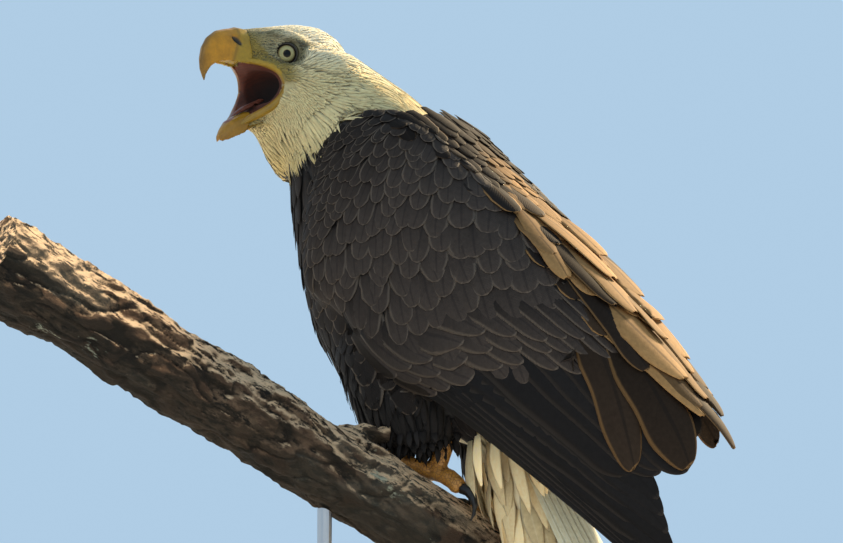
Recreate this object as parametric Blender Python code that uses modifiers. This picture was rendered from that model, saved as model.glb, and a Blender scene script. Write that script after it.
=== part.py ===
"""A life-size bald eagle calling from a sloping branch, on a plain display stand.

Metres, +Z up. The bird faces -Y, so its left side is +X, and its head is turned to its left.
The origin is the middle of the underside of the stand's base, on the floor.
"""

import math

import bmesh
import bpy
from mathutils import Matrix, Vector

# Driving dimensions
GAP = 0.0004  # clearance between pieces that meet
BODY_SLOPE = math.radians(42.7)  # the back, folded wings and tail fall backwards this steeply
NECK_BASE = Vector((0.0, -0.1452, 0.5210))  # where the body's own frame starts
PERCH_RADIUS = 0.0385
PERCH_SLOPE = math.radians(27.5)
PERCH_HEADING = math.radians(150.0)  # the way the branch falls, seen from above
PERCH_MIDDLE = Vector((0.016, -0.009, 0.2420))  # on the branch's axis, between the feet
PERCH_REACH_UP = 0.515  # from the middle to the upper cut end
PERCH_REACH_DOWN = 0.165
FEET_APART = 0.099
HEAD_MIDDLE = Vector((0.0524, -0.1872, 0.6949))  # between the eyes
HEAD_TURN = math.radians(73.0)  # to the bird's left
EYE_RADIUS = 0.0125
EYE_OUT = 0.0194
BASE_RADIUS = 0.195
BASE_THICKNESS = 0.024
ROD_RADIUS = 0.0065
ROD_STATIONS = (-0.150, 0.072)  # along the branch, from its middle

# Plain colours: linear red, green, blue, then roughness
COLOURS = {
    "brown_plumage": (0.030, 0.021, 0.016, 0.75),
    "flight_feathers": (0.022, 0.017, 0.014, 0.65),
    "white_plumage": (0.72, 0.66, 0.52, 0.80),
    "bill": (0.62, 0.36, 0.03, 0.35),
    "mouth": (0.22, 0.05, 0.03, 0.35),
    "eye": (0.45, 0.40, 0.20, 0.10),
    "foot_scales": (0.55, 0.27, 0.03, 0.55),
    "claw": (0.015, 0.014, 0.014, 0.30),
    "bark": (0.12, 0.085, 0.055, 0.90),
    "stand_wood": (0.050, 0.026, 0.014, 0.40),
    "stand_steel": (0.45, 0.45, 0.45, 0.35),
}


def clear_scene():
    for old in list(bpy.data.objects):
        bpy.data.objects.remove(old)


def new_collection(name):
    made = bpy.data.collections.new(name)
    bpy.context.scene.collection.children.link(made)
    return made


def material(slot):
    found = bpy.data.materials.get(slot)
    if found:
        return found
    red, green, blue, roughness = COLOURS[slot]
    made = bpy.data.materials.new(slot)
    made.use_nodes = True
    shader = made.node_tree.nodes["Principled BSDF"]
    shader.inputs["Base Color"].default_value = (red, green, blue, 1.0)
    shader.inputs["Roughness"].default_value = roughness
    shader.inputs["Metallic"].default_value = 1.0 if slot == "stand_steel" else 0.0
    return made


def finish(name, mesh, slot, sharp=50.0):
    """Links a mesh as one named node with its material."""
    node = bpy.data.objects.new(name, mesh)
    EAGLE.objects.link(node)
    mesh.materials.clear()
    mesh.materials.append(material(slot))
    mesh.shade_smooth()
    mesh.set_sharp_from_angle(angle=math.radians(sharp))
    return node


def helper(name, mesh):
    """A cutter or guide, which is no part of the model."""
    made = bpy.data.objects.new(name, mesh)
    CUTTERS.objects.link(made)
    made.hide_render = True
    made.display_type = "WIRE"
    return made


def loft_mesh(name, rings):
    """A closed skin through rings of equal point counts, each a list of Vectors, with flat ends."""
    form = bmesh.new()
    laid = [[form.verts.new(p) for p in ring] for ring in rings]
    count = len(rings[0])
    for low, high in zip(laid, laid[1:]):
        for i in range(count):
            k = (i + 1) % count
            form.faces.new((low[i], low[k], high[k], high[i]))
    form.faces.new(list(reversed(laid[0])))
    form.faces.new(laid[-1])
    bmesh.ops.recalc_face_normals(form, faces=form.faces)
    bmesh.ops.triangulate(form, faces=form.faces)
    mesh = bpy.data.meshes.new(name)
    form.to_mesh(mesh)
    form.free()
    return mesh


def frozen(source, name):
    """The evaluated mesh of an object, in world space, after its modifiers."""
    bpy.context.view_layer.update()
    graph = bpy.context.evaluated_depsgraph_get()
    mesh = bpy.data.meshes.new_from_object(source.evaluated_get(graph))
    mesh.transform(source.matrix_world)
    mesh.name = name
    return mesh


def combined(name, first, others, operation):
    """first with the other meshes joined to it or cut from it, by exact Booleans."""
    work = helper(name + "_work", first)
    for other in others:
        tool = helper(name + "_tool", other)
        step = work.modifiers.new("step", "BOOLEAN")
        step.operation = operation
        step.solver = "EXACT"
        step.object = tool
    result = frozen(work, name)
    for old in [work] + [m.object for m in work.modifiers]:
        bpy.data.objects.remove(old)
    return result


def grown(mesh, name, distance):
    """A copy of a closed mesh pushed out along its own normals."""
    form = bmesh.new()
    form.from_mesh(mesh)
    form.normal_update()
    moves = [v.normal * distance for v in form.verts]
    for vertex, move in zip(form.verts, moves):
        vertex.co += move
    copy = bpy.data.meshes.new(name)
    form.to_mesh(copy)
    form.free()
    return copy


def smoothly(table, at):
    """A value read from a short table of (station, value) pairs, eased by a Hermite curve."""
    if at <= table[0][0]:
        return table[0][1]
    if at >= table[-1][0]:
        return table[-1][1]
    k = next(i for i in range(len(table) - 1) if at <= table[i + 1][0])
    (x0, y0), (x1, y1) = table[k], table[k + 1]
    before = table[k - 1] if k else table[k]
    after = table[k + 2] if k + 2 < len(table) else table[k + 1]
    span = x1 - x0
    rise0 = (y1 - before[1]) / (x1 - before[0]) * span
    rise1 = (after[1] - y0) / (after[0] - x0) * span
    t = (at - x0) / span
    return (
        (2 * t**3 - 3 * t**2 + 1) * y0
        + (t**3 - 2 * t**2 + t) * rise0
        + (3 * t**2 - 2 * t**3) * y1
        + (t**3 - t**2) * rise1
    )


def tube_rings(points, radii, sides, flatten=1.0):
    """Circles, or ellipses flattened in height, square to a line of points."""
    rings = []
    for i, point in enumerate(points):
        ahead = points[min(i + 1, len(points) - 1)] - points[max(i - 1, 0)]
        ahead.normalize()
        side = ahead.cross(Vector((0, 0, 1)))
        if side.length < 0.2:
            side = ahead.cross(Vector((0, 1, 0)))
        side.normalize()
        up = side.cross(ahead)
        ring = []
        for k in range(sides):
            turn = 2 * math.pi * k / sides
            ring.append(point + radii[i] * (math.cos(turn) * side + flatten * math.sin(turn) * up))
        rings.append(ring)
    return rings


def bent_line(points, steps):
    """Evenly spaced points on a smooth curve through a few guide points."""
    ends = [2 * points[0] - points[1], *points, 2 * points[-1] - points[-2]]
    line = []
    for k in range(steps):
        place = k / (steps - 1) * (len(points) - 1)
        i = min(int(place), len(points) - 2)
        t = place - i
        a, b, c, d = ends[i : i + 4]
        line.append(
            0.5 * (2 * b + (c - a) * t + (2 * a - 5 * b + 4 * c - d) * t * t + (3 * b - a - 3 * c + d) * t**3)
        )
    return line


# The body. Its frame runs back along the spine and up square to it; height 0 is near the wings' lower edge.


def body_point(across, back, high):
    drop, run = math.sin(BODY_SLOPE), math.cos(BODY_SLOPE)
    return NECK_BASE + Vector((across, back * run + high * drop, high * run - back * drop))


MIDDLE = (
    (-0.090, 0.045), (-0.030, 0.055), (0.030, 0.045), (0.080, 0.037), (0.235, 0.030), (0.370, 0.018), (0.505, 0.006),
)
TRUNK_STATIONS = (-0.100, -0.070, -0.040, -0.010, 0.025, 0.065, 0.110, 0.155, 0.200, 0.240, 0.275, 0.300)
TRUNK_SIDES = 22
TRUNK_WIDTH = (
    (-0.100, 0.044), (-0.050, 0.066), (0.0, 0.086), (0.075, 0.096), (0.155, 0.094), (0.240, 0.066), (0.300, 0.030),
)
TRUNK_TOP = (
    (-0.100, 0.090), (-0.060, 0.126), (-0.030, 0.145), (0.0, 0.153), (0.080, 0.149), (0.155, 0.140), (0.240, 0.108),
    (0.300, 0.060),
)
TRUNK_FLOOR = (
    (-0.100, 0.043), (-0.068, 0.028), (-0.043, 0.003), (0.010, -0.038), (0.050, -0.066), (0.100, -0.082),
    (0.150, -0.080), (0.200, -0.062), (0.255, -0.035), (0.300, -0.008),
)
NECK_PLANE_LOW = (-0.074, 0.010)  # back and height where the white neck meets the breast
NECK_PLANE_HIGH = (0.003, 0.160)  # and the back


def section_point(back, turn, wide, top, floor):
    """A point on a section that is square-shouldered above its middle and round below it."""
    middle = smoothly(MIDDLE, back)
    across, rise = math.cos(turn), math.sin(turn)
    if rise > 0:
        across = math.copysign(abs(across) ** 0.75, across)
        return body_point(wide * across, back, middle + (top - middle) * rise**0.75)
    return body_point(wide * across, back, middle + (middle - floor) * rise)


def neck_plane():
    """A point and the upward normal of the plane where the neck sits on the trunk."""
    low, high = body_point(0, *NECK_PLANE_LOW), body_point(0, *NECK_PLANE_HIGH)
    return (low + high) / 2, (high - low).cross(Vector((-1, 0, 0))).normalized()


def build_trunk():
    turns = [2 * math.pi * k / TRUNK_SIDES for k in range(TRUNK_SIDES)]
    rings = []
    for back in TRUNK_STATIONS:
        shape = [smoothly(table, back) for table in (TRUNK_WIDTH, TRUNK_TOP, TRUNK_FLOOR)]
        rings.append([section_point(back, turn, *shape) for turn in turns])
    point, up = neck_plane()
    finish("trunk", kept_side(loft_mesh("trunk", rings), "trunk", point - up * GAP / 2, up), "brown_plumage")


# The wings. Each is a curved slab over the trunk's side, in rows from the leading edge to the feather tips.

WING_ROWS = 13
WING_CLEAR = 0.0014
WING_WIDTH = (
    (-0.050, 0.072), (0.0, 0.086), (0.075, 0.096), (0.155, 0.0965), (0.235, 0.0930), (0.300, 0.0800),
    (0.360, 0.0600), (0.420, 0.0400), (0.505, 0.0140),
)
WING_CROWN = (
    (-0.050, 0.134), (-0.030, 0.147), (0.0, 0.154), (0.080, 0.1505), (0.170, 0.1480), (0.220, 0.1470),
    (0.260, 0.1450), (0.300, 0.1420), (0.366, 0.1330), (0.430, 0.1190), (0.505, 0.0650),
)
WING_FLOOR = ((-0.050, -0.018), (0.010, -0.057), (0.050, -0.074), (0.100, -0.083), (0.300, -0.075), (0.505, -0.050))
WING_LOW_EDGE = (
    (-0.050, 0.050), (-0.020, 0.030), (0.005, 0.006), (0.030, -0.013), (0.055, -0.022), (0.090, -0.008),
    (0.140, -0.015), (0.180, -0.012), (0.222, 0.000), (0.290, 0.0075), (0.420, 0.0066), (0.505, 0.001),
)
WING_TOP_EDGE = ((-0.050, 0.050), (0.0, 0.040), (0.080, 0.032), (0.200, 0.016), (0.300, 0.006), (0.505, 0.003))
WING_THICKNESS = (
    (-0.050, 0.0060), (-0.020, 0.0110), (0.030, 0.0150), (0.080, 0.0160), (0.170, 0.0150), (0.235, 0.0125),
    (0.300, 0.0095), (0.380, 0.0065), (0.460, 0.0045), (0.505, 0.0030),
)
LEADING_EDGE = (
    (0.0, 0.052), (0.10, 0.020), (0.22, -0.008), (0.40, -0.030), (0.60, -0.036), (0.80, -0.026), (1.0, 0.000),
)
COVERT_END = (
    (0.0, 0.205), (0.10, 0.225), (0.20, 0.243), (0.30, 0.262), (0.40, 0.292), (0.50, 0.315), (0.60, 0.325),
    (0.80, 0.325), (1.0, 0.310),
)
FEATHER_END = (
    (0.0, 0.492), (0.06, 0.500), (0.13, 0.472), (0.22, 0.436), (0.30, 0.418), (0.40, 0.404), (0.50, 0.408),
    (0.60, 0.422), (0.70, 0.412), (0.80, 0.384), (0.90, 0.414), (0.96, 0.372), (1.0, 0.366),
)
PRIMARY_SHARE = 0.30  # the lower rows, which end in the primaries
TIGHTER_FOLD = {"primaries": 0.064, "secondaries": 0.040}  # the right wing is drawn this much further forward
FEATHER_STEP = 0.0016  # how far each flight feather stands over the next
SEAM = 0.0016  # between the coverts and the flight feathers


def wing_point(row, back, out):
    """row 0 is the lower edge and 1 the edge over the back; out is measured from the wing's inner face."""
    middle = smoothly(MIDDLE, back)
    wide, top, floor = (smoothly(table, back) for table in (WING_WIDTH, WING_CROWN, WING_FLOOR))
    low_turn = math.asin((smoothly(WING_LOW_EDGE, back) - middle) / (middle - floor))
    top_turn = math.acos((smoothly(WING_TOP_EDGE, back) / wide) ** (1 / 0.75))
    turn = low_turn + row * (top_turn - low_turn)
    out += WING_CLEAR
    return section_point(back, turn, wide + out, top + out, floor - out)


def leading_edge(row):
    """The wing's front edge: nearest the neck over the shoulder, sweeping back to the wrist below."""
    return smoothly(LEADING_EDGE, row)


def covert_end(row):
    """Where the coverts give way to the flight feathers, straight between the rows of the coverts' slab."""
    place = min(row, 0.999999) * (WING_ROWS - 1)
    k = int(place)
    low, high = (smoothly(COVERT_END, i / (WING_ROWS - 1)) for i in (k, k + 1))
    return low + (high - low) * (place - k)


def wing_slab(name, rows, start, end, columns, side, feathers=None):
    """A closed slab over some rows of the wing. feathers gives the share of a feather's width at a row."""
    outer, inner = [], []
    for row in rows:
        first, last = start(row), end(row)
        top_line, low_line = [], []
        for k in range(columns):
            share = k / (columns - 1)
            back = first + (last - first) * share
            thick = smoothly(WING_THICKNESS, back)
            edge = min(row, 1 - row) / 0.10
            thick *= 0.35 + 0.65 * math.sin(math.pi / 2 * min(1.0, edge))
            if first < 0.06:
                thick *= 0.40 + 0.60 * math.sin(math.pi / 2 * min(1.0, share / 0.14))
            if feathers:
                thick = thick * 0.8 + FEATHER_STEP * feathers(row)
            top_line.append(wing_point(row, back, thick))
            low_line.append(wing_point(row, back, 0.0))
        outer.append(top_line)
        inner.append(low_line)
    rings = [top + list(reversed(low)) for top, low in zip(outer, inner)]
    if side < 0:
        rings = [[Vector((-p.x, p.y, p.z)) for p in ring] for ring in rings]
    return loft_mesh(name, rings)


def flight_group(first_row, last_row, feathers, tip):
    """Rows across a fan of flight feathers: four round each feather's tip, and a step down between two."""
    rows, shares, falls = [], {}, {}
    width = (last_row - first_row) / feathers
    for k in range(feathers):
        for place, share, fall in ((0.03, 1.0, 1.0), (0.28, 0.7, 0.12), (0.68, 0.3, 0.08), (0.95, 0.0, 0.85)):
            row = first_row + (k + place) * width
            rows.append(row)
            shares[row], falls[row] = share, fall * tip
    return rows, shares, falls


def build_wing(side):
    label = "left" if side > 0 else "right"
    covert_rows = [k / (WING_ROWS - 1) for k in range(WING_ROWS)]
    coverts = wing_slab("wing_" + label, covert_rows, leading_edge, covert_end, 8, side)
    finish("wing_" + label, coverts, "brown_plumage")
    groups = (("primaries", 0.0, PRIMARY_SHARE, 5, 0.022), ("secondaries", PRIMARY_SHARE + 0.012, 1.0, 7, 0.012))
    for group, first_row, last_row, feathers, tip in groups:
        rows, shares, falls = flight_group(first_row, last_row, feathers, tip)
        mesh = wing_slab(
            f"wing_{label}_{group}",
            rows,
            lambda row: covert_end(row) + SEAM,
            lambda row: smoothly(FEATHER_END, row) - falls[row] - (TIGHTER_FOLD[group] if side < 0 else 0.0),
            4,
            side,
            lambda row: shares[row],
        )
        finish(f"wing_{label}_{group}", mesh, "flight_feathers", 25.0)


# The tail: twelve feathers in a shallow arch, held more steeply than the back, with soft coverts at its root.

TAIL_ROOT = Vector((0.0, 0.040, 0.366))
TAIL_SLOPE = math.radians(59.0)
TAIL_LENGTH = 0.275
TAIL_FEATHERS = 12
TAIL_THICKNESS = 0.0030


def tail_point(across, along, out):
    """across is in metres, along runs down the tail from its root and out is square to its upper side."""
    drop, run = math.sin(TAIL_SLOPE), math.cos(TAIL_SLOPE)
    return TAIL_ROOT + Vector((across, along * run + out * drop, out * run - along * drop))


def fan_point(share, along, out):
    """A point of the tail's fan: share runs from -1 to 1 across it."""
    half = 0.025 + 0.112 * along
    arch = 0.006 - 0.010 * share * share - 0.020 * along * share * share
    return tail_point(half * share, along, arch + out)


def build_tail():
    rings = []
    for k in range(TAIL_FEATHERS):
        for place, step, fall in ((0.04, 0.0, 0.009), (0.30, 0.3, 0.001), (0.70, 0.7, 0.001), (0.96, 1.0, 0.009)):
            share = -1 + 2 * (k + place) / TAIL_FEATHERS
            end = TAIL_LENGTH - fall - 0.016 * share * share
            stations = [0.010 + (end - 0.010) * j / 2 for j in range(3)]
            lift = TAIL_THICKNESS + 0.0010 * step
            top = [fan_point(share, b, lift) for b in stations]
            low = [fan_point(share, b, 0.0) for b in reversed(stations)]
            rings.append(top + low)
    trunk = grown(bpy.data.objects["trunk"].data, "trunk_room", GAP)
    mesh = combined("tail", loft_mesh("tail", rings), [trunk], "DIFFERENCE")
    return finish("tail", mesh, "white_plumage", 25.0)


def covert_pad(name, stations):
    """A soft pad of feathers. Each station gives the place down the tail, half width, lowest and highest."""
    rings = []
    for along, half, low, high in stations:
        turns = [2 * math.pi * i / 14 for i in range(14)]
        middle, reach = (low + high) / 2, (high - low) / 2
        rings.append([tail_point(half * math.cos(t), along, middle + reach * math.sin(t)) for t in turns])
    return loft_mesh(name, rings)


def build_tail_coverts():
    """The soft feathers under the root of the tail, cut clear of the tail and the trunk."""
    rooms = [grown(bpy.data.objects[n].data, n + "_room", GAP) for n in ("trunk", "tail")]
    below = (
        (-0.030, 0.026, -0.034, -0.004), (-0.010, 0.031, -0.046, 0.002), (0.020, 0.033, -0.050, 0.003),
        (0.060, 0.032, -0.048, 0.003), (0.095, 0.028, -0.045, 0.001), (0.130, 0.023, -0.030, -0.001),
        (0.160, 0.015, -0.015, -0.003),
    )
    under = combined("tail_coverts_under", covert_pad("under", below), rooms, "DIFFERENCE")
    finish("tail_coverts_under", under, "white_plumage")


# The head's own frame: forward along the bill, left, and up, in millimetres from between the eyes.


def head_point(forward, left, up):
    ahead = Vector((math.sin(HEAD_TURN), -math.cos(HEAD_TURN), 0.0))
    aside = Vector((math.cos(HEAD_TURN), math.sin(HEAD_TURN), 0.0))
    return HEAD_MIDDLE + (forward * ahead + left * aside + up * Vector((0, 0, 1))) / 1000


def head_ring(forward, top, bottom, half, lean=0.0, sides=20):
    """An upright oval section of the head, fuller above than below. lean shifts its foot forward."""
    middle, reach = (top + bottom) / 2, (top - bottom) / 2
    ring = []
    for k in range(sides):
        turn = 2 * math.pi * k / sides
        squeeze = 1 - 0.10 * math.sin(turn)
        up = middle + reach * math.sin(turn)
        left = half * squeeze * math.copysign(abs(math.cos(turn)) ** 0.85, math.cos(turn))
        ring.append(head_point(forward - lean * math.sin(turn), left, up))
    return ring


SKULL_TOP = ((-88, 11), (-78, 21), (-62, 30), (-46, 33), (-30, 33), (-12, 30), (5, 26.5), (20, 24), (36, 21.6))
SKULL_FLOOR = ((-88, -20), (-78, -30), (-62, -38), (-46, -42), (-12, -38), (5, -28), (20, -18), (36, -11))
SKULL_HALF = (
    (-88, 18), (-78, 28), (-62, 36.5), (-46, 39.5), (-30, 37.5), (-14, 32), (0, 27), (12, 23), (24, 18), (36, 14.6),
)


def skull_mesh():
    stations = (-88, -84, -77, -66, -54, -42, -30, -18, -6, 4, 14, 25, 35)
    rings = [
        head_ring(f, smoothly(SKULL_TOP, f), smoothly(SKULL_FLOOR, f), smoothly(SKULL_HALF, f)) for f in stations
    ]
    return loft_mesh("skull", rings)


def jaw_mesh():
    """The feathered throat and chin, stretched down by the open lower jaw."""
    line = ((-52, -22, 36, 32), (-28, -42, 37, 33), (-8, -52, 33, 24), (8, -57.5, 27, 16), (20, -61.5, 19, 9))
    rings = []
    for forward, up, half, thick in line:
        ring = []
        for k in range(20):
            turn = 2 * math.pi * k / 20
            along, off = 0.40 * thick * math.sin(turn), thick * math.sin(turn)
            ring.append(head_point(forward + along, half * math.cos(turn), up + off))
        rings.append(ring)
    return loft_mesh("jaw", rings)


def brow_mesh(side):
    """The bony ridge that shades the eye."""
    ridge = ((24, 15, 14), (10, 23.5, 16), (-4, 27.5, 16), (-22, 30, 11))
    line = bent_line([head_point(forward, side * left, up) for forward, left, up in ridge], 9)
    radii = [0.0035 + 0.0035 * math.sin(math.pi * k / 8) for k in range(9)]
    return loft_mesh("brow", tube_rings(line, radii, 10))


def gape_mesh(side):
    """The fleshy rim of the open mouth, from the upper bill round its corner to the lower one."""
    rim = (
        (30, 14, -10), (19, 22, -12.5), (9, 28, -19), (4.5, 31.5, -31), (8.5, 30.5, -42), (16, 26, -51), (23, 19, -58),
    )
    line = bent_line([head_point(f, side * left, up) for f, left, up in rim], 15)
    radii = [4.2e-3 + 1.6e-3 * math.sin(math.pi * k / 14) for k in range(15)]
    return loft_mesh("gape", tube_rings(line, radii, 10))


def oval_mesh(name, middle, reach):
    """An egg in the head's frame: middle and reach are forward, left and up, in millimetres."""
    form = bmesh.new()
    bmesh.ops.create_uvsphere(form, u_segments=12, v_segments=8, radius=1.0)
    for vertex in form.verts:
        vertex.co = head_point(*(m + r * c for m, r, c in zip(middle, reach, vertex.co)))
    bmesh.ops.recalc_face_normals(form, faces=form.faces)
    mesh = bpy.data.meshes.new(name)
    form.to_mesh(mesh)
    form.free()
    return mesh


def throat_mesh():
    """The loose feathers that hang from the chin down the front of the neck."""
    line = bent_line([head_point(f, 0, u) for f, u in ((-2, -62), (-14, -81), (-27, -99), (-41, -118))], 9)
    return loft_mesh("throat", tube_rings(line, [0.016 + 0.002 * math.sin(k / 2) for k in range(9)], 14))


NECK_LINE = (
    (0.000, -0.058, 0.550, 0.067),
    (0.000, -0.082, 0.575, 0.068),
    (0.001, -0.112, 0.604, 0.069),
    (0.006, -0.140, 0.631, 0.065),
    (0.010, -0.156, 0.658, 0.061),
    (0.011, -0.160, 0.681, 0.056),
    (0.008, -0.160, 0.697, 0.045),
)


def neck_mesh():
    line = bent_line([Vector(p[:3]) for p in NECK_LINE], 13)
    radii = [smoothly([(i, p[3]) for i, p in enumerate(NECK_LINE)], k / 12 * 6) for k in range(13)]
    return loft_mesh("neck_tube", tube_rings(line, radii, 24))


def soft_union(name, meshes, voxel, rounds, triangles):
    """Several overlapping forms melted into one smooth closed skin."""
    form = bmesh.new()
    for mesh in meshes:
        form.from_mesh(mesh)
    joined = bpy.data.meshes.new(name)
    form.to_mesh(joined)
    form.free()
    work = helper(name + "_work", joined)
    melt = work.modifiers.new("melt", "REMESH")
    melt.mode = "VOXEL"
    melt.voxel_size = voxel
    ease = work.modifiers.new("ease", "SMOOTH")
    ease.factor = 0.5
    ease.iterations = rounds
    fine = frozen(work, name)
    bpy.data.objects.remove(work)
    fine.calc_loop_triangles()
    again = helper(name + "_work", fine)
    thin = again.modifiers.new("thin", "DECIMATE")
    thin.ratio = triangles / len(fine.loop_triangles)
    result = frozen(again, name)
    bpy.data.objects.remove(again)
    return result


def kept_side(mesh, name, point, normal):
    """The part of a closed mesh behind a plane, with its cut closed flat."""
    form = bmesh.new()
    form.from_mesh(mesh)
    bmesh.ops.bisect_plane(
        form, geom=form.verts[:] + form.edges[:] + form.faces[:], plane_co=point, plane_no=normal, clear_outer=True
    )
    rim = [e for e in form.edges if e.is_boundary]
    bmesh.ops.edgeloop_fill(form, edges=rim)
    bmesh.ops.recalc_face_normals(form, faces=form.faces)
    bmesh.ops.triangulate(form, faces=form.faces)
    made = bpy.data.meshes.new(name)
    form.to_mesh(made)
    form.free()
    return made


def mouth_cutters():
    """The open gape between the jaws, and the throat behind it."""
    rim = (
        (95, -12.5), (33, -12.4), (18, -16.6), (10.5, -22.9), (7.8, -31.5), (12, -38.5), (17.5, -45.5), (25, -52),
        (38, -60), (95, -100),
    )
    wedge = loft_mesh("wedge", [[head_point(f, left, u) for f, u in rim] for left in (-60, 60)])
    return [wedge, oval_mesh("pocket", (8, 0, -32), (22, 25, 17))]


def ball(name, middle, radius, segments=10):
    form = bmesh.new()
    bmesh.ops.create_uvsphere(form, u_segments=segments, v_segments=segments // 2 + 1, radius=radius)
    bmesh.ops.translate(form, vec=middle, verts=form.verts)
    mesh = bpy.data.meshes.new(name)
    form.to_mesh(mesh)
    form.free()
    return mesh


# The bill, in the head's frame. Each section is an arch from edge to edge over a hollow roof.

UPPER_BILL = (
    # forward and up of the ridge, forward and up of the edge, half width
    (31.0, 21.4, 30.0, -12.9, 14.5),
    (41.0, 21.6, 38.5, -12.2, 13.4),
    (52.5, 19.4, 48.5, -11.6, 11.8),
    (63.2, 16.5, 57.5, -12.0, 9.8),
    (72.6, 9.8, 65.0, -13.8, 7.6),
    (78.8, 0.2, 69.8, -16.8, 5.4),
    (81.4, -10.6, 72.2, -20.4, 3.9),
    (81.0, -20.5, 74.0, -25.0, 2.4),
    (76.6, -31.0, 75.2, -31.2, 0.8),
)
LOWER_BILL = (
    # forward and up of the rim, forward and up of the keel, half width
    (23.8, -52.5, 17.0, -68.0, 18.5),
    (30.5, -55.7, 25.0, -71.6, 17.2),
    (39.5, -59.8, 34.5, -75.4, 15.0),
    (48.5, -65.0, 44.5, -80.0, 11.8),
    (54.5, -72.0, 52.0, -84.2, 8.0),
    (59.5, -79.5, 58.0, -86.5, 3.4),
)


def bill_rings(sections, hollow):
    """Rings of an arch from rim to rim over the ridge or keel, and back through a hollow face."""
    rings = []
    for ridge_f, ridge_u, edge_f, edge_u, half in sections:
        ring = []
        for k in range(9):
            turn = math.pi * k / 8
            rise = math.sin(turn) ** 0.75
            left = half * math.copysign(abs(math.cos(turn)) ** 0.80, math.cos(turn))
            ring.append(head_point(edge_f + (ridge_f - edge_f) * rise, left, edge_u + (ridge_u - edge_u) * rise))
        for left in (-0.72, 0.0, 0.72):
            rise = hollow * (1 - left * left)
            ring.append(
                head_point(edge_f + (ridge_f - edge_f) * rise, left * half, edge_u + (ridge_u - edge_u) * rise)
            )
        rings.append(ring)
    return rings


def build_head():
    forms = [skull_mesh(), jaw_mesh(), neck_mesh()]
    forms.append(throat_mesh())
    for side in (1, -1):
        forms += [brow_mesh(side), gape_mesh(side), oval_mesh("cheek", (-26, side * 20, -25), (36, 20, 28))]
    whole = soft_union("head_and_neck", forms, 0.0028, 7, 960)
    nape, tilt = Vector((0.020, -0.160, 0.640)), Vector((0.35, -0.55, 0.76)).normalized()
    base, up = neck_plane()
    neck = kept_side(whole, "neck", nape - tilt * GAP / 2, tilt)
    neck = kept_side(neck, "neck", base + up * GAP / 2, -up)
    head = kept_side(whole, "head", nape + tilt * GAP / 2, -tilt)
    cutters = mouth_cutters()
    for side in (1, -1):
        cutters.append(ball("socket", head_point(-4.0, side * EYE_OUT * 1000, -0.3), EYE_RADIUS + GAP))
        cutters.append(oval_mesh("lids", (1, side * 37.5, 0), (14.5, 14.5, 12.5)))
    upper = loft_mesh("bill_upper", bill_rings(UPPER_BILL, 0.16))
    lower = loft_mesh("bill_lower", bill_rings(LOWER_BILL, 0.30))
    cutters += [grown(upper, "upper_room", GAP), grown(lower, "lower_room", GAP)]
    head = combined("head", head, cutters, "DIFFERENCE")
    finish("head", head, "white_plumage")
    finish("neck", neck, "white_plumage")
    finish("bill_upper", upper, "bill")
    finish("bill_lower", lower, "bill")
    for side, label in ((1, "left"), (-1, "right")):
        finish("eye_" + label, ball("eye", head_point(-4.0, side * EYE_OUT * 1000, -0.3), EYE_RADIUS), "eye")


def build_tongue():
    line = [head_point(f, 0, u) for f, u in ((7, -42.0), (16, -46.5), (25, -50.5), (34, -55.0), (42, -60.5))]
    line = bent_line(line, 6)
    radii = [0.0042, 0.0054, 0.0056, 0.0053, 0.0040, 0.0014]
    rooms = [grown(bpy.data.objects[n].data, n + "_room", GAP) for n in ("head", "bill_lower")]
    tongue = loft_mesh("tongue", tube_rings(line, radii, 7, 0.42))
    finish("tongue", combined("tongue", tongue, rooms, "DIFFERENCE"), "mouth")


# The perch: a rough sloping branch with a broken stub. Its surface guides the toes.


def perch_axes():
    flat = Vector((math.cos(PERCH_HEADING), math.sin(PERCH_HEADING), 0.0))
    along = flat * math.cos(PERCH_SLOPE) - Vector((0, 0, math.sin(PERCH_SLOPE)))
    front = Vector((0, 0, 1)).cross(flat)
    upward = along.cross(front)
    if upward.z < 0:
        upward.negate()
    return along, front, upward


def perch_point(along, around, out):
    """A point over the branch: along falls with it, around turns from its top towards the bird's front."""
    way, front, upward = perch_axes()
    reach = PERCH_RADIUS + out
    return PERCH_MIDDLE + along * way + reach * (math.cos(around) * upward + math.sin(around) * front)


def build_perch():
    rings = []
    stations = 15
    for k in range(stations):
        along = -PERCH_REACH_UP + (PERCH_REACH_UP + PERCH_REACH_DOWN) * k / (stations - 1)
        ring = []
        for i in range(12):
            turn = 2 * math.pi * i / 12
            rough = 0.0016 * math.sin(3 * turn + 40 * along) + 0.0014 * math.sin(2 * turn - 71 * along)
            clear = min(1.0, max(0.0, (abs(along) - 0.085) / 0.05))
            taper = 0.0030 * max(0.0, -along - 0.1) / 0.4
            ring.append(perch_point(along, turn, (rough + taper) * clear - 0.0004))
        rings.append(ring)
    bough = loft_mesh("perch_branch", rings)
    root, tip = perch_point(-0.142, 0.10, -0.014), perch_point(-0.106, -0.05, 0.015)
    line = bent_line([root, (root + tip) / 2 + Vector((0, 0, 0.006)), tip], 5)
    stub = loft_mesh("stub", tube_rings(line, [0.0200, 0.0150, 0.0105, 0.0085, 0.0095], 9))
    finish("perch_branch", combined("perch_branch", bough, [stub], "UNION"), "bark")


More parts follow.
